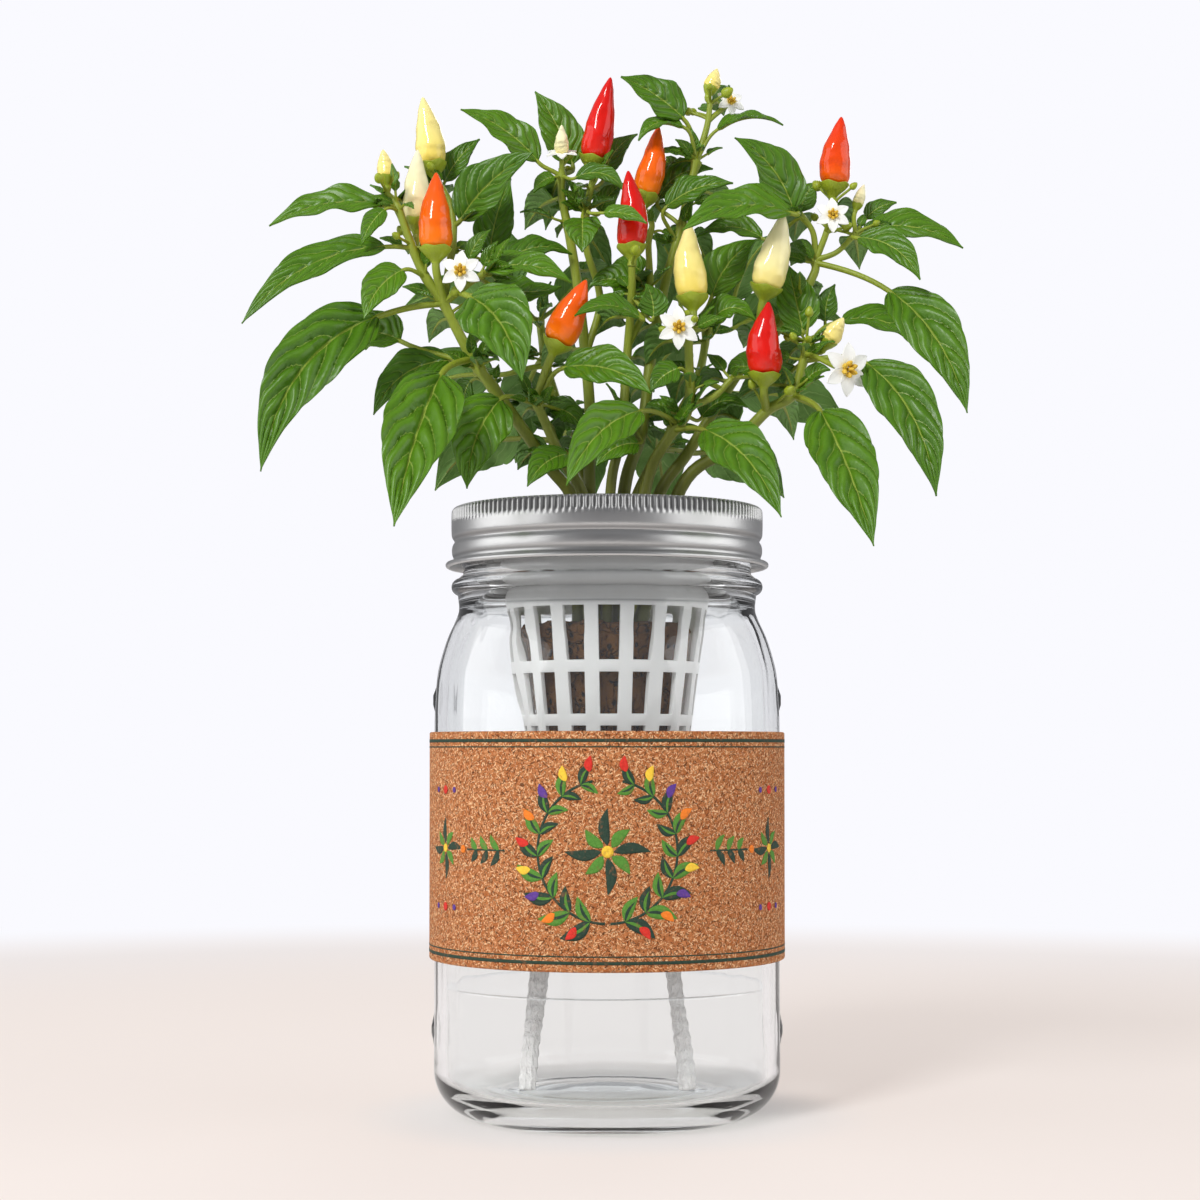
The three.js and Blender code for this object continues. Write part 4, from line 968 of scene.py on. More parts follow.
# %% Branches
ROOT = PLUG_TOP - BAND_TOP
BRANCHES = {
    "left": dict(stems=[
        ([2, 1.4], [[-8, 1, ROOT], [-9, 2, 0], [-17, 0, 13], [-30, -4, 31], [-38, -7, 42], [-46, -11, 57]]),
        ([1.4, 0.9], [[-46, -11, 57], [-52, -12, 66], [-56, -13, 76], [-59, -13, 84], [-62, -13, 88]]),
        ([1.2, 0.9], [[-46, -11, 57], [-45, -4, 69], [-44, 0, 77], [-45, 2, 88], [-49, 2, 95]]),
        ([1.1, 0.8], [[-46, -11, 57], [-40, -11, 62], [-34, -10, 66]]),
    ], leaves=[
        [1, 0.75, [-63, -14, 84], [-94, -20, 77], 3, 13, 45],
        [1, 0.4, [-62, -16, 72], [-100, -30, 48], 5, 13, 50],
        [1, 0.2, [-57, -18, 65], [-67, -26, 50], 2, 11, 65],
        [0, 1, [-64, -18, 52], [-93, -42, 6], 8, 20, 75],
        [0, 0.65, [-39, 2, 37], [-41, 4, 31], 1, 7, 60],
        [0, 0.75, [-59, -2, 48], [-77, 4, 47], 3, 15, 60],
        [1, 0.7, [-62, -18, 82], [-68, -23, 71], 1, 6, 65],
        [0, 0.8, [-46, -22, 35], [-56, -56, -10], 3, 21, 85],
        [0, 0.75, [-45, -4, 42], [-66, -8, 26], 4, 13, 60],
        [3, 0.3, [-38, -20, 57], [-23, -38, 31], 4, 20, 75],
        [2, 0.6, [-42, 0, 83], [-21, -6, 101], 2, 16, 60],
        [2, 0.4, [-34, 8, 75], [-28, 12, 98], 1, 12, 55],
        [2, 0.9, [-47, 8, 96], [-37, 10, 109], 1, 8, 60],
        [3, 1, [-34, -12, 66], [-10, -15, 62], 3, 12, 45],
        [3, 0.9, [-29, 0, 71], [-10, 4, 74], 3, 10, 45],
        [3, 0.8, [-33, -2, 64], [-13, 0, 64], -2, 11, 50],
        [3, 0.5, [-39, -8, 70], [-33, -6, 79], 1, 5, 70],
    ], peppers=[
        [2, 1, [-50, 2, 99], [-53, 3, 119], 4.3, "yellow"],
        [1, 0.35, [-54, -6, 81], [-54, -4, 102], 4, "cream"],
        [0, 1, [-48, -15, 71], [-48, -14, 93], 4.8, "orange"],
        [1, 1, [-62, -13, 92], [-63, -13, 100], 2.5, "yellow"],
    ], flowers=[
        [3, 0.6, [-41, -17, 65], [0, -1, 0.1], 6, 2.5],
    ]),
    "inner": dict(stems=[
        ([1.8, 1.2], [[-5, -4, ROOT], [-6, -6, 0], [-13, -7, 14], [-18, -9, 25], [-20, -10, 29]]),
    ], leaves=[
        [0, 1, [-30, -10, 30], [-39, -18, 4], 3, 17, 80],
        [0, 0.95, [-12, -16, 38], [12, -28, 29], 3, 14, 60],
        [0, 0.9, [-17, 0, 29], [-7, 2, 23], 2, 9, 60],
        [0, 0.5, [-11, -14, 14], [-22, -24, 4], 2, 10, 60],
    ], peppers=[
        [0, 1, [-14, -15, 45], [-6, -18, 62], 4.9, "orange"],
    ], flowers=[]),
    "centre": dict(stems=[
        ([1.9, 1], [[-3, 4, ROOT], [-5, 5, 6], [-5, 8, 31], [-8, 8, 62], [-11, 7, 81],
            [-13, 6, 91], [-13, 4, 99]]),
        ([1.2, 0.9], [[-6, 8, 46], [-2, 10, 62], [-6, 9, 77], [-6, 8, 87], [-4, 6, 97]]),
    ], leaves=[
        [0, 0.95, [-20, 4, 101], [-42, 0, 115], 2, 12, 55],
        [0, 0.95, [-10, 12, 102], [-21, 14, 124], 1, 13, 60],
        [0, 0.95, [-9, -1, 95], [5, -6, 90], 3, 7, 55],
        [1, 0.8, [-7, -2, 83], [-7, -9, 72], 1, 11, 70],
        [0, 0.7, [-16, 5, 85], [-25, 3, 86], 1, 4, 20],
        [1, 0.9, [-1, 12, 98], [9, 16, 112], 2, 8, 55],
        [1, 0.75, [-2, 12, 88], [5, 14, 97], 1, 7, 55],
        [1, 0.75, [-1, -14, 82], [11, -19, 78], 1, 6, 55],
        [0, 0.93, [-15, 2, 96], [-21, 0, 91], 1, 5, 60],
    ], peppers=[
        [1, 1, [-4, 6, 102], [1, 4, 125], 4.5, "red"],
    ], flowers=[
        [0, 1, [-13, 3, 103], [0, -0.4, 0.9], 5, 8],
    ]),
    "middle": dict(stems=[
        ([1.6, 1], [[0, -2, ROOT], [1, -3, 5], [4, -2, 21], [6, 0, 47], [7, -6, 60], [7, -9, 68]]),
        ([1.1, 0.8], [[6, 0, 47], [12, 2, 61], [12, 4, 77], [13, 5, 83], [11, 6, 86]]),
    ], leaves=[
        [0, 0.75, [9, -16, 52], [-9, -25, 51], 3, 9, 45],
        [1, 0.3, [8, 1, 62], [-5, 0, 64], 3, 12, 55],
        [0, 0.8, [13, -12, 53], [11, -14, 62], 1, 9, 70],
        [1, 0.6, [10, 6, 69], [1, 9, 71], 2, 9, 50],
        [0, 0.45, [9, -6, 18], [-3, -12, 11], 2, 10, 60],
    ], peppers=[
        [0, 1, [7, -9, 73], [6, -8, 95], 4.4, "red"],
        [1, 1, [11, 6, 91], [15, 8, 112], 4.1, "orange"],
    ], flowers=[]),
    "tall": dict(stems=[
        ([2, 1.1], [[2, 4, ROOT], [5, 4, 6], [10, 6, 23], [13, 8, 47], [17, 8, 67], [21, 8, 81],
            [26, 8, 102]]),
        ([1, 0.8], [[26, 8, 102], [29, 8, 112], [30, 8, 119]]),
    ], leaves=[
        [0, 1, [22, 6, 114], [4, 2, 125], 1, 13, 60],
        [0, 1, [22, 4, 111], [9, 0, 106], 3, 8, 35],
        [0, 1, [32, 7, 111], [51, 6, 112], 3, 8, 25],
        [0, 0.8, [17, 1, 87], [36, -3, 93], 2, 10, 55],
        [0, 0.85, [15, 12, 92], [31, 13, 101], 3, 11, 55],
        [0, 0.9, [20, 15, 100], [15, 17, 105], 1, 6, 60],
    ], peppers=[
        [1, 1, [30, 8, 123], [32, 8, 129], 2.3, "yellow"],
    ], flowers=[
        [1, 0.6, [36, 10, 120], [0.3, -0.9, 0.3], 4.5, 2],
    ]),
    "front": dict(stems=[
        ([1.9, 1], [[5, -4, ROOT], [11, -4, 6], [17, -8, 19], [23, -10, 28], [23, -11, 45], [24, -12, 51]]),
        ([1.2, 0.8], [[23, -10, 28], [30, -9, 31], [35, -8, 36]]),
    ], leaves=[
        [0, 0.5, [9, -22, 25], [-11, -44, 2], 4, 14, 70],
        [0, 0.45, [27, -20, 20], [46, -50, -7], 4, 16, 75],
        [0, 0.55, [27, -3, 26], [40, -2, 29], 3, 9, 45],
        [0, 0.65, [20, -15, 38], [12, -19, 31], 1, 8, 70],
        [0, 0.9, [29, -6, 52], [42, -7, 53], 4, 10, 50],
        [0, 0.95, [30, 0, 61], [43, 2, 78], 2, 13, 65],
        [1, 1, [43, -2, 39], [34, -3, 38], 2, 9, 60],
    ], peppers=[
        [0, 1, [24, -12, 58], [23, -10, 80], 4.7, "yellow"],
    ], flowers=[
        [0, 0.85, [20, -18, 49], [0, -1, 0], 6.3, 2.5],
    ]),
    "right": dict(stems=[
        ([2, 1.1], [[9, 0, ROOT], [21, 0, 6], [35, -4, 17], [45, -8, 27], [52, -11, 31],
            [55, -12, 40], [56, -12, 46]]),
    ], leaves=[
        [0, 0.67, [59, -22, 25], [70, -54, -15], 2, 18, 80],
        [0, 0.85, [72, -18, 39], [89, -36, 0], 5, 17, 65],
        [0, 0.95, [67, 0, 54], [91, 0, 45], 4, 11, 45],
        [0, 1, [63, 6, 55], [66, 7, 66], 1, 7, 65],
        [0, 0.7, [56, -15, 35], [62, -19, 37], 1, 6, 60],
    ], peppers=[
        [0, 0.5, [44, -15, 36], [45, -17, 56], 4.9, "red"],
        [0, 1, [62, -13, 46], [66, -16, 52], 2.8, "yellow"],
    ], flowers=[
        [0, 0.9, [66, -26, 36], [0.4, -0.85, -0.1], 7.5, 2.5],
    ]),
    "upper": dict(stems=[
        ([1.9, 1.1], [[8, 7, ROOT], [14, 6, 2], [24, 6, 18], [40, 4, 43], [51, 3, 54],
            [59, 2, 67], [60, 2, 72]]),
        ([1, 0.7], [[60, 2, 72], [59, 1, 80], [55, 0, 85]]),
        ([1, 0.9], [[60, 2, 72], [63, 1, 80], [65, 0, 88]]),
        ([0.9, 0.7], [[60, 2, 72], [66, 0, 74], [71, -1, 79]]),
    ], leaves=[
        [1, 1, [53, -4, 85], [36, -11, 104], 3, 14, 65],
        [1, 0.8, [56, 7, 87], [61, 9, 96], 1, 8, 60],
        [1, 1, [52, -9, 83], [21, -19, 76], 4, 15, 50],
        [1, 0.9, [45, 10, 80], [26, 13, 81], 3, 9, 45],
        [3, 0.9, [71, -9, 76], [87, -20, 62], 3, 11, 60],
        [3, 1, [75, 3, 81], [102, 0, 75], 3, 12, 50],
        [3, 1, [75, 7, 85], [84, 8, 90], 1, 6, 60],
        [0, 0.97, [80, -8, 61], [99, -26, 24], 4, 17, 70],
        [0, 0.75, [56, 0, 51], [52, 3, 71], 0, 13, 75],
    ], peppers=[
        [2, 1, [65, 0, 93], [67, -2, 112], 4.5, "red"],
        [0, 0.55, [45, -6, 62], [50, -8, 83], 4.9, "yellow"],
        [3, 1, [72, 3, 88], [74, 3, 94], 1.7, "cream"],
    ], flowers=[
        [2, 0.5, [64, -7, 83], [0, -1, 0.1], 5.2, 2],
    ]),
    "back_left": dict(stems=[
        ([1.9, 1.1], [[-2, 10, ROOT], [-4, 14, 0], [-12, 24, 26], [-18, 30, 46], [-20, 33, 60]]),
    ], leaves=[
        [0, 0.45, [-26, 28, 24], [-52, 42, 10], 5, 19, -65],
        [0, 0.55, [-10, 34, 30], [-6, 57, 4], 5, 20, -80],
        [0, 0.75, [-34, 34, 44], [-68, 48, 32], 5, 18, -60],
        [0, 0.8, [-22, 40, 46], [-28, 56, 20], 4, 17, -80],
        [0, 1, [-30, 36, 64], [-62, 44, 66], 5, 14, -45],
        [0, 1, [-14, 36, 66], [4, 42, 76], 3, 12, -50],
        [0, 0.95, [-28, 32, 70], [-40, 34, 92], 2, 13, -60],
    ], peppers=[], flowers=[]),
    "back_right": dict(stems=[
        ([1.9, 1.1], [[4, 12, ROOT], [7, 16, 0], [18, 23, 24], [27, 29, 42], [30, 31, 56]]),
    ], leaves=[
        [0, 0.45, [28, 30, 20], [54, 44, 8], 5, 19, -70],
        [0, 0.5, [14, 34, 26], [18, 57, 2], 5, 18, -85],
        [0, 0.75, [40, 32, 38], [74, 42, 26], 5, 18, -60],
        [0, 1, [38, 34, 58], [72, 36, 60], 5, 14, -45],
        [0, 0.95, [24, 38, 54], [14, 54, 42], 4, 14, -70],
        [0, 1, [22, 34, 66], [14, 36, 88], 2, 12, -60],
        [0, 1, [38, 32, 66], [50, 32, 86], 2, 12, -55],
    ], peppers=[], flowers=[]),
}

# %% [markdown]
# ## Stems
# Young pepper stems are green and a little ridged, and they thicken where a leaf stalk leaves. Each stem
# is a smooth line through its points with a radius at every step, which a bevelled curve turns into a
# mesh. Leaf stalks leave in a shallow arch and run on as the midrib under the blade.

# %% Lines of the stems
PLANT_FOOT = np.array([0, 0, BAND_TOP])
STEM_STEPS = 8
STEM_ROOT = 4
KNOT_SWELL = 0.16
KNOT_REACH = 1.8
UP = np.array([0, 0, 1.0])


def point_on(points, share):
    """The place a share of the way along a stem, counted from point to point as the stem's list is."""
    line = smooth(points, STEM_STEPS)
    step = share * (len(line) - 1)
    whole = min(int(step), len(line) - 2)
    return line[whole] + (line[whole + 1] - line[whole]) * (step - whole)


def stem_line(points, radii, shares, standing):
    line = smooth(points, STEM_STEPS)
    along = np.linspace(0, 1, len(line))
    thickness = radii[0] + (radii[1] - radii[0]) * along
    length = np.linalg.norm(np.diff(line, axis=0), axis=1).sum()
    for share in shares:
        thickness *= 1 + KNOT_SWELL * np.exp(-((along - share) * length / KNOT_REACH) ** 2)
    if standing:
        line = np.vstack([line[0] - STEM_ROOT * UP, line])
        thickness = np.concatenate([[thickness[0]], thickness])
    return line + PLANT_FOOT, thickness


def bend(start, first, second, end, steps):
    """A stalk's arch: a curve from start to end that leaves towards first and arrives from second."""
    share = np.linspace(0, 1, steps + 1)[:, None]
    rest = 1 - share
    return (start * rest ** 3 + 3 * first * rest ** 2 * share + 3 * second * rest * share ** 2
            + end * share ** 3)


def stalk(start, end, arrival, thickness):
    """A stalk from a stem to a place where it arrives along a direction."""
    span = np.linalg.norm(end - start)
    line = bend(start, start + 0.4 * (end - start) + 0.06 * span * UP, end - 0.35 * span * arrival, end, 8)
    return line + PLANT_FOOT, np.linspace(1.15 * thickness, thickness, len(line))


# %% [markdown]
# ## Leaves
# A pepper leaf is broad below the middle and drawn out to its tip. Its halves fold up a little from the
# midrib, the skin puckers between the side veins, and the edge waves. Every blade starts as a flat grid
# that is carried onto its own midrib, so the UV map runs from the base to the tip and from edge to edge
# on each of them, and the veins of the material follow it.

# %% Blades
LEAF_FOLD = math.radians(16)
LEAF_SKIN = 0.5
VEINS = 6.2
VEIN_LEAN = 0.16
VEIN_CURVE = 0.19
LEAF_RELIEF = 0.006
LEAF_RIPPLE = 0.13


def blade_width(share):
    return 3.2 * share ** 0.62 * (1 - share) ** 1.2


def midrib(base, tip, bow, turn):
    """A function that gives a leaf's middle, its run and the way its face looks, at shares of its length."""
    chord = tip - base
    forward = unit(chord)
    lift = unit(UP - forward * forward[2])
    face = np.array([0, -math.sin(math.radians(turn)), math.cos(math.radians(turn))])

    def at(share):
        share = np.asarray(share)[:, None]
        middle = base + chord * share + lift * 4 * bow * share * (1 - share)
        run = unit(chord + lift * 4 * bow * (1 - 2 * share))
        over = unit(face - run * (run @ face)[:, None])
        return middle + PLANT_FOOT, run, over

    return at


def blade(name, at, length, width, draw):
    phase = draw.uniform(0, 2 * math.pi)
    waves = draw.uniform(1.8, 3.0)
    tone = draw.uniform(0, 1)
    laid = []

    def place(across, along):
        side = 2 * across - 1
        middle, run, over = at(along)
        sway = 0.022 * np.sin(11 * along + phase) + 0.014 * np.sin(25 * along + 4 * side + phase)
        vein = VEINS * (along - VEIN_LEAN * abs(side) - VEIN_CURVE * side ** 2 + 0.06 * (side > 0) + sway)
        laid.append(vein)
        bulge = abs(np.sin(math.pi * vein)) ** 0.7
        half = np.maximum(width / 2 * blade_width(along) * (0.97 + 0.05 * bulge), 0.12)
        pucker = bulge * np.minimum(1, 6 * abs(side)) * (1 - side ** 2)
        relief = LEAF_RELIEF * width * min(width, 1.2 * length - 6) * pucker * blade_width(along)
        wave = np.sin(2 * math.pi * waves * along + phase + 1.2 * side)
        ripple = LEAF_RIPPLE * half * abs(side) ** 2.5 * wave
        lift = half * math.sin(LEAF_FOLD) * abs(side) ** 1.3 + relief + ripple
        out = np.cross(run, over) * (half * math.cos(LEAF_FOLD) * side)[:, None]
        return (middle + out + over * lift[:, None]) * MM

    columns = 2 * int(np.clip(width / 1.7, 2, 11))
    rows = int(np.clip(length / 0.9, 8, 56))
    piece = sheet(name, columns, rows, place)
    note(piece, "tone", np.full(len(piece.data.vertices), tone))
    note(piece, "vein", laid[0])
    return piece


# %% [markdown]
# ## Peppers and their cups
# The fruit stands upright, widest near its base, and tapers to a blunt point, with soft lumps down its
# sides. It sits in a green cup with five points, on a stalk that thickens towards the cup. Both are
# turned, then the cup's rim is drawn into points and each is stood on its own axis.

# %% Fruit
FRUIT = [(0, 0), (0.5, 0.005), (0.8, 0.05), (0.95, 0.13), (1, 0.22), (0.97, 0.36), (0.83, 0.54), (0.62, 0.7),
         (0.4, 0.84), (0.2, 0.94), (0.09, 0.985), (0, 1)]
FRUIT_STRETCH = 1.02
FRUIT_STEPS = 36
FRUIT_LUMPS = 0.1
FRUIT_RINGS = 24
FRUIT_LEAN = 0.06
CUP_LENGTH = 3.6
CUP_POINTS = 5
CUP_STEPS = 50


def turned(points, axis):
    """Points made along +Z, turned to an axis."""
    return points @ np.array(Vector(axis).to_track_quat("Z", "Y").to_matrix()).T


def stood(points, foot, axis):
    """Points made along +Z, turned to an axis and set on a foot of the plant, in metres."""
    return (turned(points, axis) + foot + PLANT_FOOT) * MM


def fruit(name, base, tip, radius, draw):
    length = FRUIT_STRETCH * np.linalg.norm(tip - base)
    profile = smooth([(radius * r, length * z) for r, z in FRUIT], 4)
    profile[:, 0] = np.maximum(profile[:, 0], 0)
    piece = lathe(name, profile, FRUIT_STEPS)
    at = points_of(piece) / MM
    along = np.clip(at[:, 2] / length, 0, 1)
    start = draw.uniform(0, 50)
    spots = at * (0.75 / radius) + (start, 0, 0)
    lumps = bumps(spots) + 0.35 * bumps(2.3 * spots)
    lumps += 0.2 * np.sin(FRUIT_RINGS * along + 4 * lumps)
    at[:, :2] *= (1 + FRUIT_LUMPS * lumps * np.sin(math.pi * along) ** 0.6)[:, None]
    at[:, 0] += draw.uniform(-FRUIT_LEAN, FRUIT_LEAN) * length * np.sin(math.pi * along) ** 2
    note(piece, "along", along)
    note(piece, "lumps", lumps)
    move_points(piece, stood(at, base, unit(tip - base)))
    return piece


def cup_length(radius):
    return min(CUP_LENGTH, 1.25 * radius)


def cup(name, base, tip, radius, thickness):
    length = cup_length(radius)
    outside = [(thickness, -length), (1.1 * thickness, -0.9 * length), (0.42 * radius, -0.66 * length),
               (0.72 * radius, -0.3 * length), (0.9 * radius, 0.02 * length), (0.98 * radius, 0.24 * length)]
    inside = [(0.94 * radius, 0.24 * length), (0.82 * radius, 0.02 * length), (0.5 * radius, -0.1 * length),
              (0, -0.1 * length)]
    piece = lathe(name, [(0, -length), *eased(outside, 4), *inside], CUP_STEPS)
    at = points_of(piece) / MM
    turn = np.arctan2(at[:, 0], at[:, 1]) / (2 * math.pi) * CUP_POINTS
    point = 1 - 2 * abs(turn % 1 - 0.5)
    upper = np.clip((at[:, 2] / length + 0.15) / 0.39, 0, 1) * (np.hypot(at[:, 0], at[:, 1]) > 0.6 * radius)
    at[:, 2] += 0.18 * length * upper * (point - 0.55)
    move_points(piece, stood(at, base, unit(tip - base)))
    return piece


# %% [markdown]
# ## Flowers
# A pepper flower is a white star of six pointed petals with a ring of yellow anthers round a pale pistil.
# One petal is a small sheet that folds along its middle and bends back at the tip, copied round the
# middle. One flower is already setting fruit, so a small pepper stands in place of its anthers.

# %% Blossom
PETALS = 6
PETAL_SKIN = 0.35


def petal(name, turn, radius, draw):
    droop = draw.uniform(0.1, 0.3)
    sway = draw.uniform(-0.08, 0.08)

    def place(across, along):
        side = 2 * across - 1
        reach = radius * (0.1 + 0.9 * along)
        half = radius * 0.27 * np.sin(math.pi * np.clip(0.14 + 0.86 * along, 0, 1)) ** 0.85 + 0.05
        x = half * side + sway * radius * along ** 2
        z = 0.16 * half * abs(side) ** 1.4 + radius * (0.14 * along - droop * along ** 2)
        right = x * math.cos(turn) - reach * math.sin(turn)
        return np.c_[right, x * math.sin(turn) + reach * math.cos(turn), z] * MM

    return sheet(name, 8, 12, place)


def egg(name, radius, length, foot, axis):
    """A small rounded body from a ball that is drawn out along an axis and narrowed at its far end."""
    bpy.ops.mesh.primitive_uv_sphere_add(segments=12, ring_count=8, radius=1)
    piece = bpy.context.object
    piece.name = name
    at = points_of(piece)
    at[:, :2] *= (radius * (1 - 0.3 * at[:, 2]))[:, None]
    at[:, 2] = (at[:, 2] + 1) / 2 * length
    move_points(piece, (turned(at, axis) + foot) * MM)
    bpy.ops.object.shade_smooth()
    return piece


# %% [markdown]
# ## The plant's finishes
# Leaves are dark and glossy above, with a pale midrib and side veins in shallow furrows, and duller and
# paler below. Their colour is painted lighter in the middle of each panel between side veins and darker by
# the veins, as painted shade on the puckers. Stems and cups are yellow-green, the stems darker and browner
# near their foot. The peppers are waxed: each colour runs from a paler base to a stronger tip, under a
# clear coat.

# %% Leaf skin
def leaf_skin(name, dark, light, vein_colour, gloss):
    p = paint(name)
    place = p.place()
    across, along, _ = p.parts(p.place("UV"))
    side = abs(across * 2 - 1)
    blunt = 1 - along.step(0.7, 0.95)
    patch = p.cloud(place, 120, 3)
    off = abs((p.kept("vein") + (patch - 0.5) * 0.1).fraction() - 0.5) * 2
    veins = off.step(0.89, 1.0) * (1 - side * 0.5) * blunt
    rib = 1 - side.step(0.012, 0.06)
    net = 1 - p.cells(place, 800, "DISTANCE_TO_EDGE").step(0.0, 0.1)
    tone = p.kept("tone")
    # Painted shade: each panel between side veins is lighter towards its middle and darker by the veins.
    ground = p.mix(patch * 0.5 + tone * 0.35 + (1 - off) * 0.25, dark, light)
    ground = p.mix(net * 0.14, ground, light)
    ground = p.mix(veins * 0.52, ground, vein_colour)
    ground = p.mix(rib * 0.85, ground, vein_colour)
    blisters = p.cells(place, 330)
    height = ((1 - off * off) * 0.8 + veins * 0.2 - blisters * 0.3) * blunt + patch * 0.3
    return p.show(p.principled(
        base_color=ground,
        roughness=gloss + patch * 0.12,
        specular_ior_level=0.42,
        normal=p.bump(height, 0.0012, 0.5),
    ))


leaf_top = leaf_skin("leaf_top", srgb(38, 83, 3), srgb(93, 139, 16), srgb(168, 186, 84), 0.33)
leaf_back = leaf_skin("leaf_back", srgb(84, 128, 50), srgb(116, 156, 74), srgb(160, 188, 110), 0.55)

# %% Stem, cup and petal skins
def green_skin(name, young, old, gloss):
    p = paint(name)
    place = p.place()
    streaks = p.cloud(p.stretched(place, (1, 1, 0.15)), 1400, 3)
    patch = p.cloud(place, 110, 2)
    height = p.parts(place)[2]
    # The stems are darker and browner near the plant's foot.
    near_foot = 1 - height.step(0.172, 0.215)
    ground = p.mix(streaks * 0.6 + patch * 0.4, young, old)
    ground = p.mix(near_foot * 0.7, ground, srgb(78, 70, 24))
    return p.show(p.principled(
        base_color=ground, roughness=gloss + streaks * 0.15, normal=p.bump(streaks, 0.0003, 0.5),
    ))


stem_skin = green_skin("stem_skin", srgb(164, 176, 54), srgb(112, 132, 28), 0.4)
cup_skin = green_skin("cup_skin", srgb(166, 180, 44), srgb(134, 154, 26), 0.34)


def petal_skin():
    p = paint("petal_white")
    place = p.place()
    along = p.parts(p.place("UV"))[1]
    lines = p.cloud(p.stretched(p.place("UV"), (14, 0.6, 1)), 1.4, 2)
    throat = 1 - along.step(0.0, 0.35)
    ground = p.mix(lines * 0.5, srgb(250, 250, 246), srgb(236, 238, 228))
    return p.show(p.principled(
        base_color=p.mix(throat * 0.5, ground, srgb(226, 232, 178)),
        roughness=0.5 + p.cloud(place, 600) * 0.12,
        normal=p.bump(lines, 0.0002, 0.5),
    ))


def pollen_skin():
    p = paint("anther_yellow")
    grain = p.cloud(p.place(), 2200, 3)
    return p.show(p.principled(
        base_color=p.mix(grain, srgb(196, 150, 30), srgb(246, 214, 84)),
        roughness=0.75,
        normal=p.bump(grain, 0.0002, 0.6),
    ))


petal_white = petal_skin()
anther_yellow = pollen_skin()

# %% Pepper skins
def pepper_skin(name, base, middle, tip):
    p = paint(name)
    along = p.kept("along")
    lumps = p.kept("lumps")
    blush = p.cloud(p.place(), 180, 2)
    ground = p.ramp(along + blush * 0.16 - 0.08, (0.02, base), (0.3, middle), (0.95, tip))
    return p.show(p.principled(
        base_color=ground,
        roughness=0.4 + blush * 0.1,
        specular_ior_level=0.1,
        coat_weight=0.8,
        coat_roughness=0.04,
        normal=p.bump(lumps + p.cloud(p.place(), 380, 1) * 0.7, 0.0006, 0.5),
    ))


PEPPER_SKINS = {
    "red": pepper_skin("pepper_red", srgb(228, 34, 8), srgb(222, 18, 4), srgb(210, 10, 4)),
    "ember": pepper_skin("pepper_ember", srgb(246, 104, 2), srgb(240, 74, 2), srgb(230, 48, 2)),
    "orange": pepper_skin("pepper_orange", srgb(250, 128, 8), srgb(248, 104, 2), srgb(240, 84, 4)),
    "yellow": pepper_skin("pepper_yellow", srgb(240, 214, 92), srgb(246, 226, 128), srgb(248, 234, 158)),
    # Paler than yellow, and lighter still as painted light for a pepper in a leaf's shadow.
    "pale": pepper_skin("pepper_pale", srgb(248, 226, 120), srgb(252, 240, 170), srgb(253, 246, 200)),
    "cream": pepper_skin("pepper_cream", srgb(244, 230, 150), srgb(250, 240, 186), srgb(250, 244, 204)),
}
print("skins:", len(bpy.data.materials))

# %% [markdown]
# ## Growing the plant
# One loop goes through the branches: it lays the lines of the stems, stalks and midribs, carries the
# blades, stands the peppers in their cups and sets the flowers. Everything on a branch is joined into a
# piece of stems and a piece of leaves, which together stand for that branch's CAD node.

# %% Grow
# pepper_red_4 is more orange. pepper_yellow_6 is paler, and its skin is lighter still as painted light
# against the shadow of the leaf above it.
SKIN_CHANGES = {"pepper_red_4": "ember", "pepper_yellow_6": "pale"}
RIB_SPAN = (0.06, 0.82)
RIB_STEPS = 12
SPROUTS = 3
SPROUT_FLOOR = 4
SPROUT_STALKS = (1.5, 4.5)
SPROUT_LENGTHS = (4.5, 9.5)
FLOWER_ROOM = 9
REAR_SHARES = (0.42, 0.56, 0.7, 0.83, 0.94)
REAR_FLOOR = 14
REAR_STALKS = (4, 7)
REAR_LENGTHS = (15, 25)
REAR_WIDTHS = (8, 11.5)
REAR_TURN = -60
BUDS = 2
BUD_STALKS = (4, 8)
BUD_RADII = (0.9, 1.5)
draw = random.Random(11)
numbers = {}


def numbered(kind):
    numbers[kind] = numbers.get(kind, 0) + 1
    return f"{kind}_{numbers[kind]}"


def grow_leaves(branch, stems, leaves, lines):
    blades = []
    for source, share, base, tip, bow, width, turn in leaves:
        base, tip = np.array(base, float), np.array(tip, float)
        at = midrib(base, tip, bow, turn)
        thickness = 0.32 + 0.034 * width
        _, run, over = at([0.0])
        start = point_on(stems[source][1], share)
        line, radii = stalk(start, base, run[0], 0.85 * thickness)
        shares = np.linspace(*RIB_SPAN, RIB_STEPS)
        middle, _, over = at(shares)
        rib = 0.8 * thickness * (1 - shares) + 0.1
        lines.append((np.vstack([line, middle - over * 0.6 * rib[:, None]]), np.concatenate([radii, rib])))
        blades.append(blade("blade", at, np.linalg.norm(tip - base), width, draw))
    piece = join("leaves_" + branch, blades)
    coat(piece, leaf_top, leaf_back)
    piece.data.polygons.foreach_set("material_index", np.zeros(len(piece.data.polygons), np.int32))
    finish_with(piece, "SOLIDIFY", thickness=LEAF_SKIN * MM, offset=0, material_offset=1)
    bpy.ops.object.shade_smooth_by_angle(angle=math.radians(60))
    dress(piece, "insert", "foliage", "stem_" + branch)


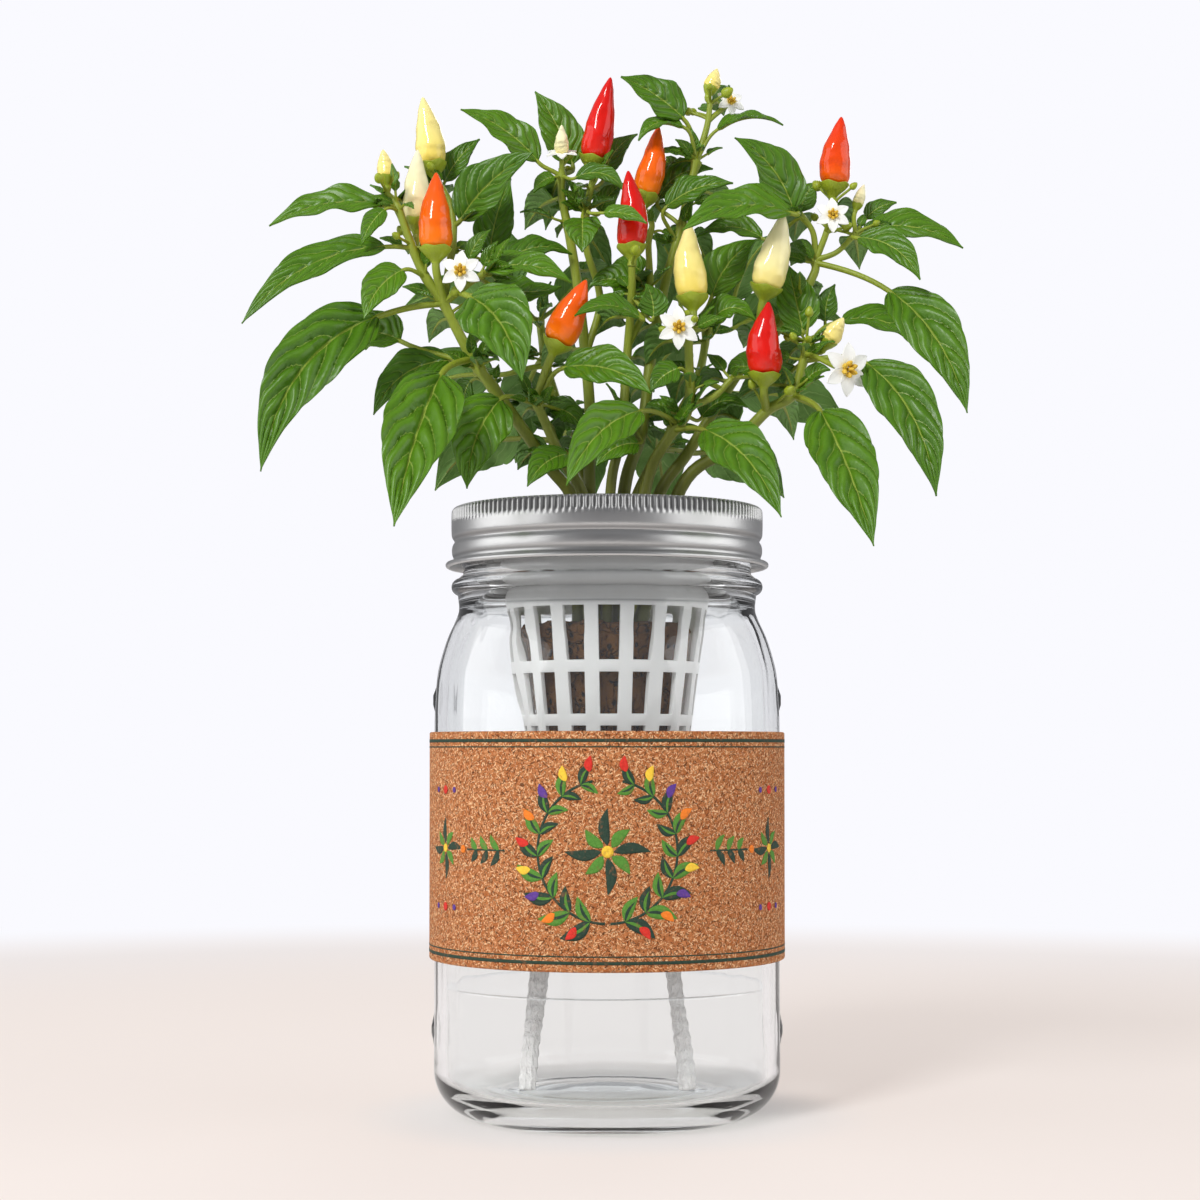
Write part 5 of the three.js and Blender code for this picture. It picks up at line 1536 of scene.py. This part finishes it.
def sprouts(stems, leaves, flowers):
    """Small young leaves where the stalks of the larger ones leave the stem, clear of the flowers."""
    young = []
    kept_clear = np.array([flower[2] for flower in flowers] or [[0, 0, -1000]])
    for source, share, *_ in leaves:
        spot = point_on(stems[source][1], share)
        for _ in range(SPROUTS if spot[2] > SPROUT_FLOOR else 0):
            aim = unit(np.array([draw.gauss(0, 1), draw.gauss(-0.3, 1), draw.uniform(0.2, 1.2)]))
            base = spot + aim * draw.uniform(*SPROUT_STALKS)
            size = draw.uniform(*SPROUT_LENGTHS)
            tip = base + size * unit(aim + (0, 0, draw.uniform(-0.7, 0.3)))
            turn = draw.uniform(10, 100)
            if np.linalg.norm((kept_clear - (base + tip) / 2)[:, [0, 2]], axis=1).min() > FLOWER_ROOM:
                young.append([source, share, base, tip, 0.06 * size, 0.44 * size, turn])
    return young


def rear_leaves(stems):
    """Leaves that grow towards the back from the upper stems, so that the plant is full from the sides."""
    grown = []
    for source, (_, points) in enumerate(stems):
        for share in REAR_SHARES if source == 0 else REAR_SHARES[-1:]:
            spot = point_on(points, share)
            if spot[2] > REAR_FLOOR:
                aim = unit(np.array([draw.uniform(-0.7, 0.7), 1, draw.uniform(0, 0.5)]))
                base = spot + aim * draw.uniform(*REAR_STALKS)
                tip = base + draw.uniform(*REAR_LENGTHS) * unit(aim - (0, 0, draw.uniform(0.2, 0.7)))
                grown.append([source, share, base, tip, 2, draw.uniform(*REAR_WIDTHS), REAR_TURN])
    return grown


def buds(stems, carried, lines, cups):
    """Flower buds beside the fruit and flowers, each a small egg on a thin stalk."""
    for source, share, *_ in carried:
        for _ in range(BUDS):
            spot = point_on(stems[source][1], min(1, share + draw.uniform(-0.05, 0.1)))
            aim = unit(np.array([draw.gauss(0, 1), draw.gauss(-0.3, 1), draw.uniform(0.3, 1.5)]))
            end = spot + aim * draw.uniform(*BUD_STALKS)
            size = draw.uniform(*BUD_RADII)
            lines.append(stalk(spot, end, aim, 0.4))
            cups.append(egg("bud", size, 2.6 * size, end - 0.3 * aim + PLANT_FOOT, aim))


def grow_peppers(stems, peppers, lines, cups):
    for source, share, base, tip, radius, colour in peppers:
        base, tip = np.array(base, float), np.array(tip, float)
        axis = unit(tip - base)
        thickness = min(1.15, 0.36 * radius)
        foot = base - axis * (cup_length(radius) - 0.4)
        line, radii = stalk(point_on(stems[source][1], share), foot, axis, thickness)
        lines.append((line, radii))
        cups.append(cup("cup", base, tip, radius, thickness))
        node = numbered("pepper_" + colour)
        piece = fruit(node.replace("pepper", "fruit"), base, tip, radius, draw)
        coat(piece, PEPPER_SKINS[SKIN_CHANGES.get(node, colour)])
        dress(piece, "insert", "pepper_" + colour, node)


def grow_flowers(stems, flowers, lines):
    for source, share, middle, facing, radius, boss in flowers:
        middle, axis = np.array(middle, float), unit(np.array(facing, float))
        lines.append(stalk(point_on(stems[source][1], share), middle, axis, 0.7))
        node = numbered("flower")
        star = join("star", [petal("petal", 2 * math.pi * k / PETALS, radius, draw) for k in range(PETALS)])
        coat(star, petal_white)
        finish_with(star, "SOLIDIFY", thickness=PETAL_SKIN * MM, offset=0)
        parts = [star]
        if boss > radius:
            parts.append(fruit("young", np.zeros(3), boss * UP, 0.26 * boss, draw))
            coat(parts[-1], PEPPER_SKINS["cream"])
            move_points(parts[-1], points_of(parts[-1]) - PLANT_FOOT * MM)
        else:
            for k in range(PETALS):
                turn = 2 * math.pi * (k + 0.5) / PETALS
                out = np.array([math.cos(turn), math.sin(turn), 0])
                parts.append(egg("anther", 0.1 * radius, 0.36 * radius, 0.14 * radius * out, out * 0.45 + UP))
            parts.append(egg("pistil", 0.07 * radius, 0.5 * radius, 0 * UP, UP))
            for part in parts[1:]:
                coat(part, anther_yellow)
        piece = join("blossom_" + node.split("_")[1], parts)
        move_points(piece, stood(points_of(piece) / MM, middle, axis))
        bpy.ops.object.shade_smooth_by_angle(angle=math.radians(60))
        dress(piece, "insert", "petal", node)


for branch, grown in BRANCHES.items():
    stems = grown["stems"]
    lines, cups = [], []
    for k, (radii, points) in enumerate(stems):
        shares = [leaf[1] for leaf in grown["leaves"] if leaf[0] == k]
        lines.append(stem_line(points, radii, shares, k == 0))
    leaves = grown["leaves"] + sprouts(stems, grown["leaves"], grown["flowers"])
    if not branch.startswith("back"):
        leaves += rear_leaves(stems)
    grow_leaves(branch, stems, leaves, lines)
    grow_peppers(stems, grown["peppers"], lines, cups)
    grow_flowers(stems, grown["flowers"], lines)
    buds(stems, grown["peppers"] + grown["flowers"], lines, cups)
    stalks = tubes("stalks", lines)
    coat(stalks, stem_skin)
    for part in cups:
        coat(part, cup_skin)
    piece = join("stems_" + branch, [stalks, *cups])
    dress(piece, "insert", "foliage", "stem_" + branch)

# %% [markdown]
# ## Stage and light
# The floor is plain and pale and fades into the backdrop, so there is no edge behind the jar. Its
# fades are counted in square metres, as the square of the distance from the jar's axis. The eye and the
# glass see the same pale white behind the jar. Metal sees a greyer room, and what glass bends in from the
# sides is darker, which draws its edges. A soft box stands at each side, where the band shows it near its
# edges, one hangs high in front and a weaker one behind. The cork keeps the high light off the wicks, so a
# small low lamp is linked to them alone.

# %% Floor, world and lamps
FLOOR_SIZE = 8
FLOOR_COLOUR = srgb(236, 231, 228)
FLOOR_GLOW = srgb(249, 234, 225)
BACKDROP = srgb(250, 250, 255)
FLOOR_FADE = (0.06, 0.6)
FOOT_FADE = (0.0014, 0.006)
AMBIENT = 0.36
LAMP_AIM = Vector((0, 0, 0.17))


def sights(p):
    """1 for rays of the eye, for rays that metal sends on, and for rays that glass bends."""
    rays = p.node("LightPath", {}, {}, "Is Camera Ray").socket.node.outputs
    return [Reading(p, rays[f"Is {kind} Ray"]) for kind in ("Camera", "Glossy", "Transmission")]


bpy.ops.mesh.primitive_plane_add(size=FLOOR_SIZE)
floor = bpy.context.object
floor.name = "floor"
p = paint("pale_floor")
x, y, _ = p.parts(p.place())
eye, _, bent = sights(p)
squared = x * x + y * y
far = squared.step(*FLOOR_FADE)
clear_of_foot = squared.step(*FOOT_FADE)
matt = p.node("BsdfDiffuse", {}, {"Color": FLOOR_COLOUR})
level = AMBIENT + eye.most(bent) * (1 - AMBIENT)
tint = p.mix(far.most(bent * 0.6), FLOOR_GLOW, BACKDROP)
glow = p.node("Emission", {}, {"Color": tint, "Strength": level})
share = far.most(eye * clear_of_foot * 0.5).most(bent * clear_of_foot * 0.95)
coat(floor, p.show(p.node("MixShader", {}, {0: share, 1: matt, 2: glow})))

scene.world = bpy.data.worlds.new("studio")
p = Paint(scene.world)
x, y, z = p.parts(p.place("Generated"))
eye, gloss, bent = sights(p)
aside = abs(x).step(0.4, 0.95)
behind = 1 - aside * 0.5
around = 0.18 + aside * 0.1 + y.step(0.1, 0.9) * 0.06 + z.step(0.2, 0.9) * 0.1
strength = AMBIENT + gloss * (1 - bent) * (around - AMBIENT) + bent * (behind - AMBIENT)
strength = strength + eye * (1 - strength)
p.show(p.node("Background", {}, {"Color": BACKDROP, "Strength": strength}), "World")


def softbox(name, place, size, power):
    bpy.ops.object.light_add(type="AREA", location=place)
    lamp = bpy.context.object
    lamp.name = name
    lamp.data.shape = "RECTANGLE"
    lamp.data.size, lamp.data.size_y = size
    lamp.data.energy = power
    lamp.rotation_euler = (LAMP_AIM - Vector(place)).to_track_quat("-Z", "Y").to_euler()
    return lamp


def light_for(lamp, state, *pieces):
    """Links a lamp so that it lights these pieces alone (INCLUDE) or leaves them out (EXCLUDE)."""
    choose(lamp, *pieces)
    bpy.ops.object.light_linking_receiver_collection_new()
    bpy.ops.object.light_linking_receivers_link(link_state=state)
    print("lamp", lamp.name, state, [piece.name for piece in pieces])


softbox("left", (-1.35, -0.3, 0.45), (1.8, 1.2), 10)
softbox("right", (1.35, -0.3, 0.45), (1.8, 1.2), 10)
light_for(softbox("high", (-0.6, -1.1, 1.15), (0.3, 0.6), 17), "EXCLUDE", jar, water, band)
light_for(softbox("back", (0.4, 1.3, 0.9), (0.9, 0.7), 5), "EXCLUDE", jar, water, band)
light_for(softbox("low", (0, -0.9, 0.1), (0.5, 0.2), 2), "INCLUDE", *wicks)
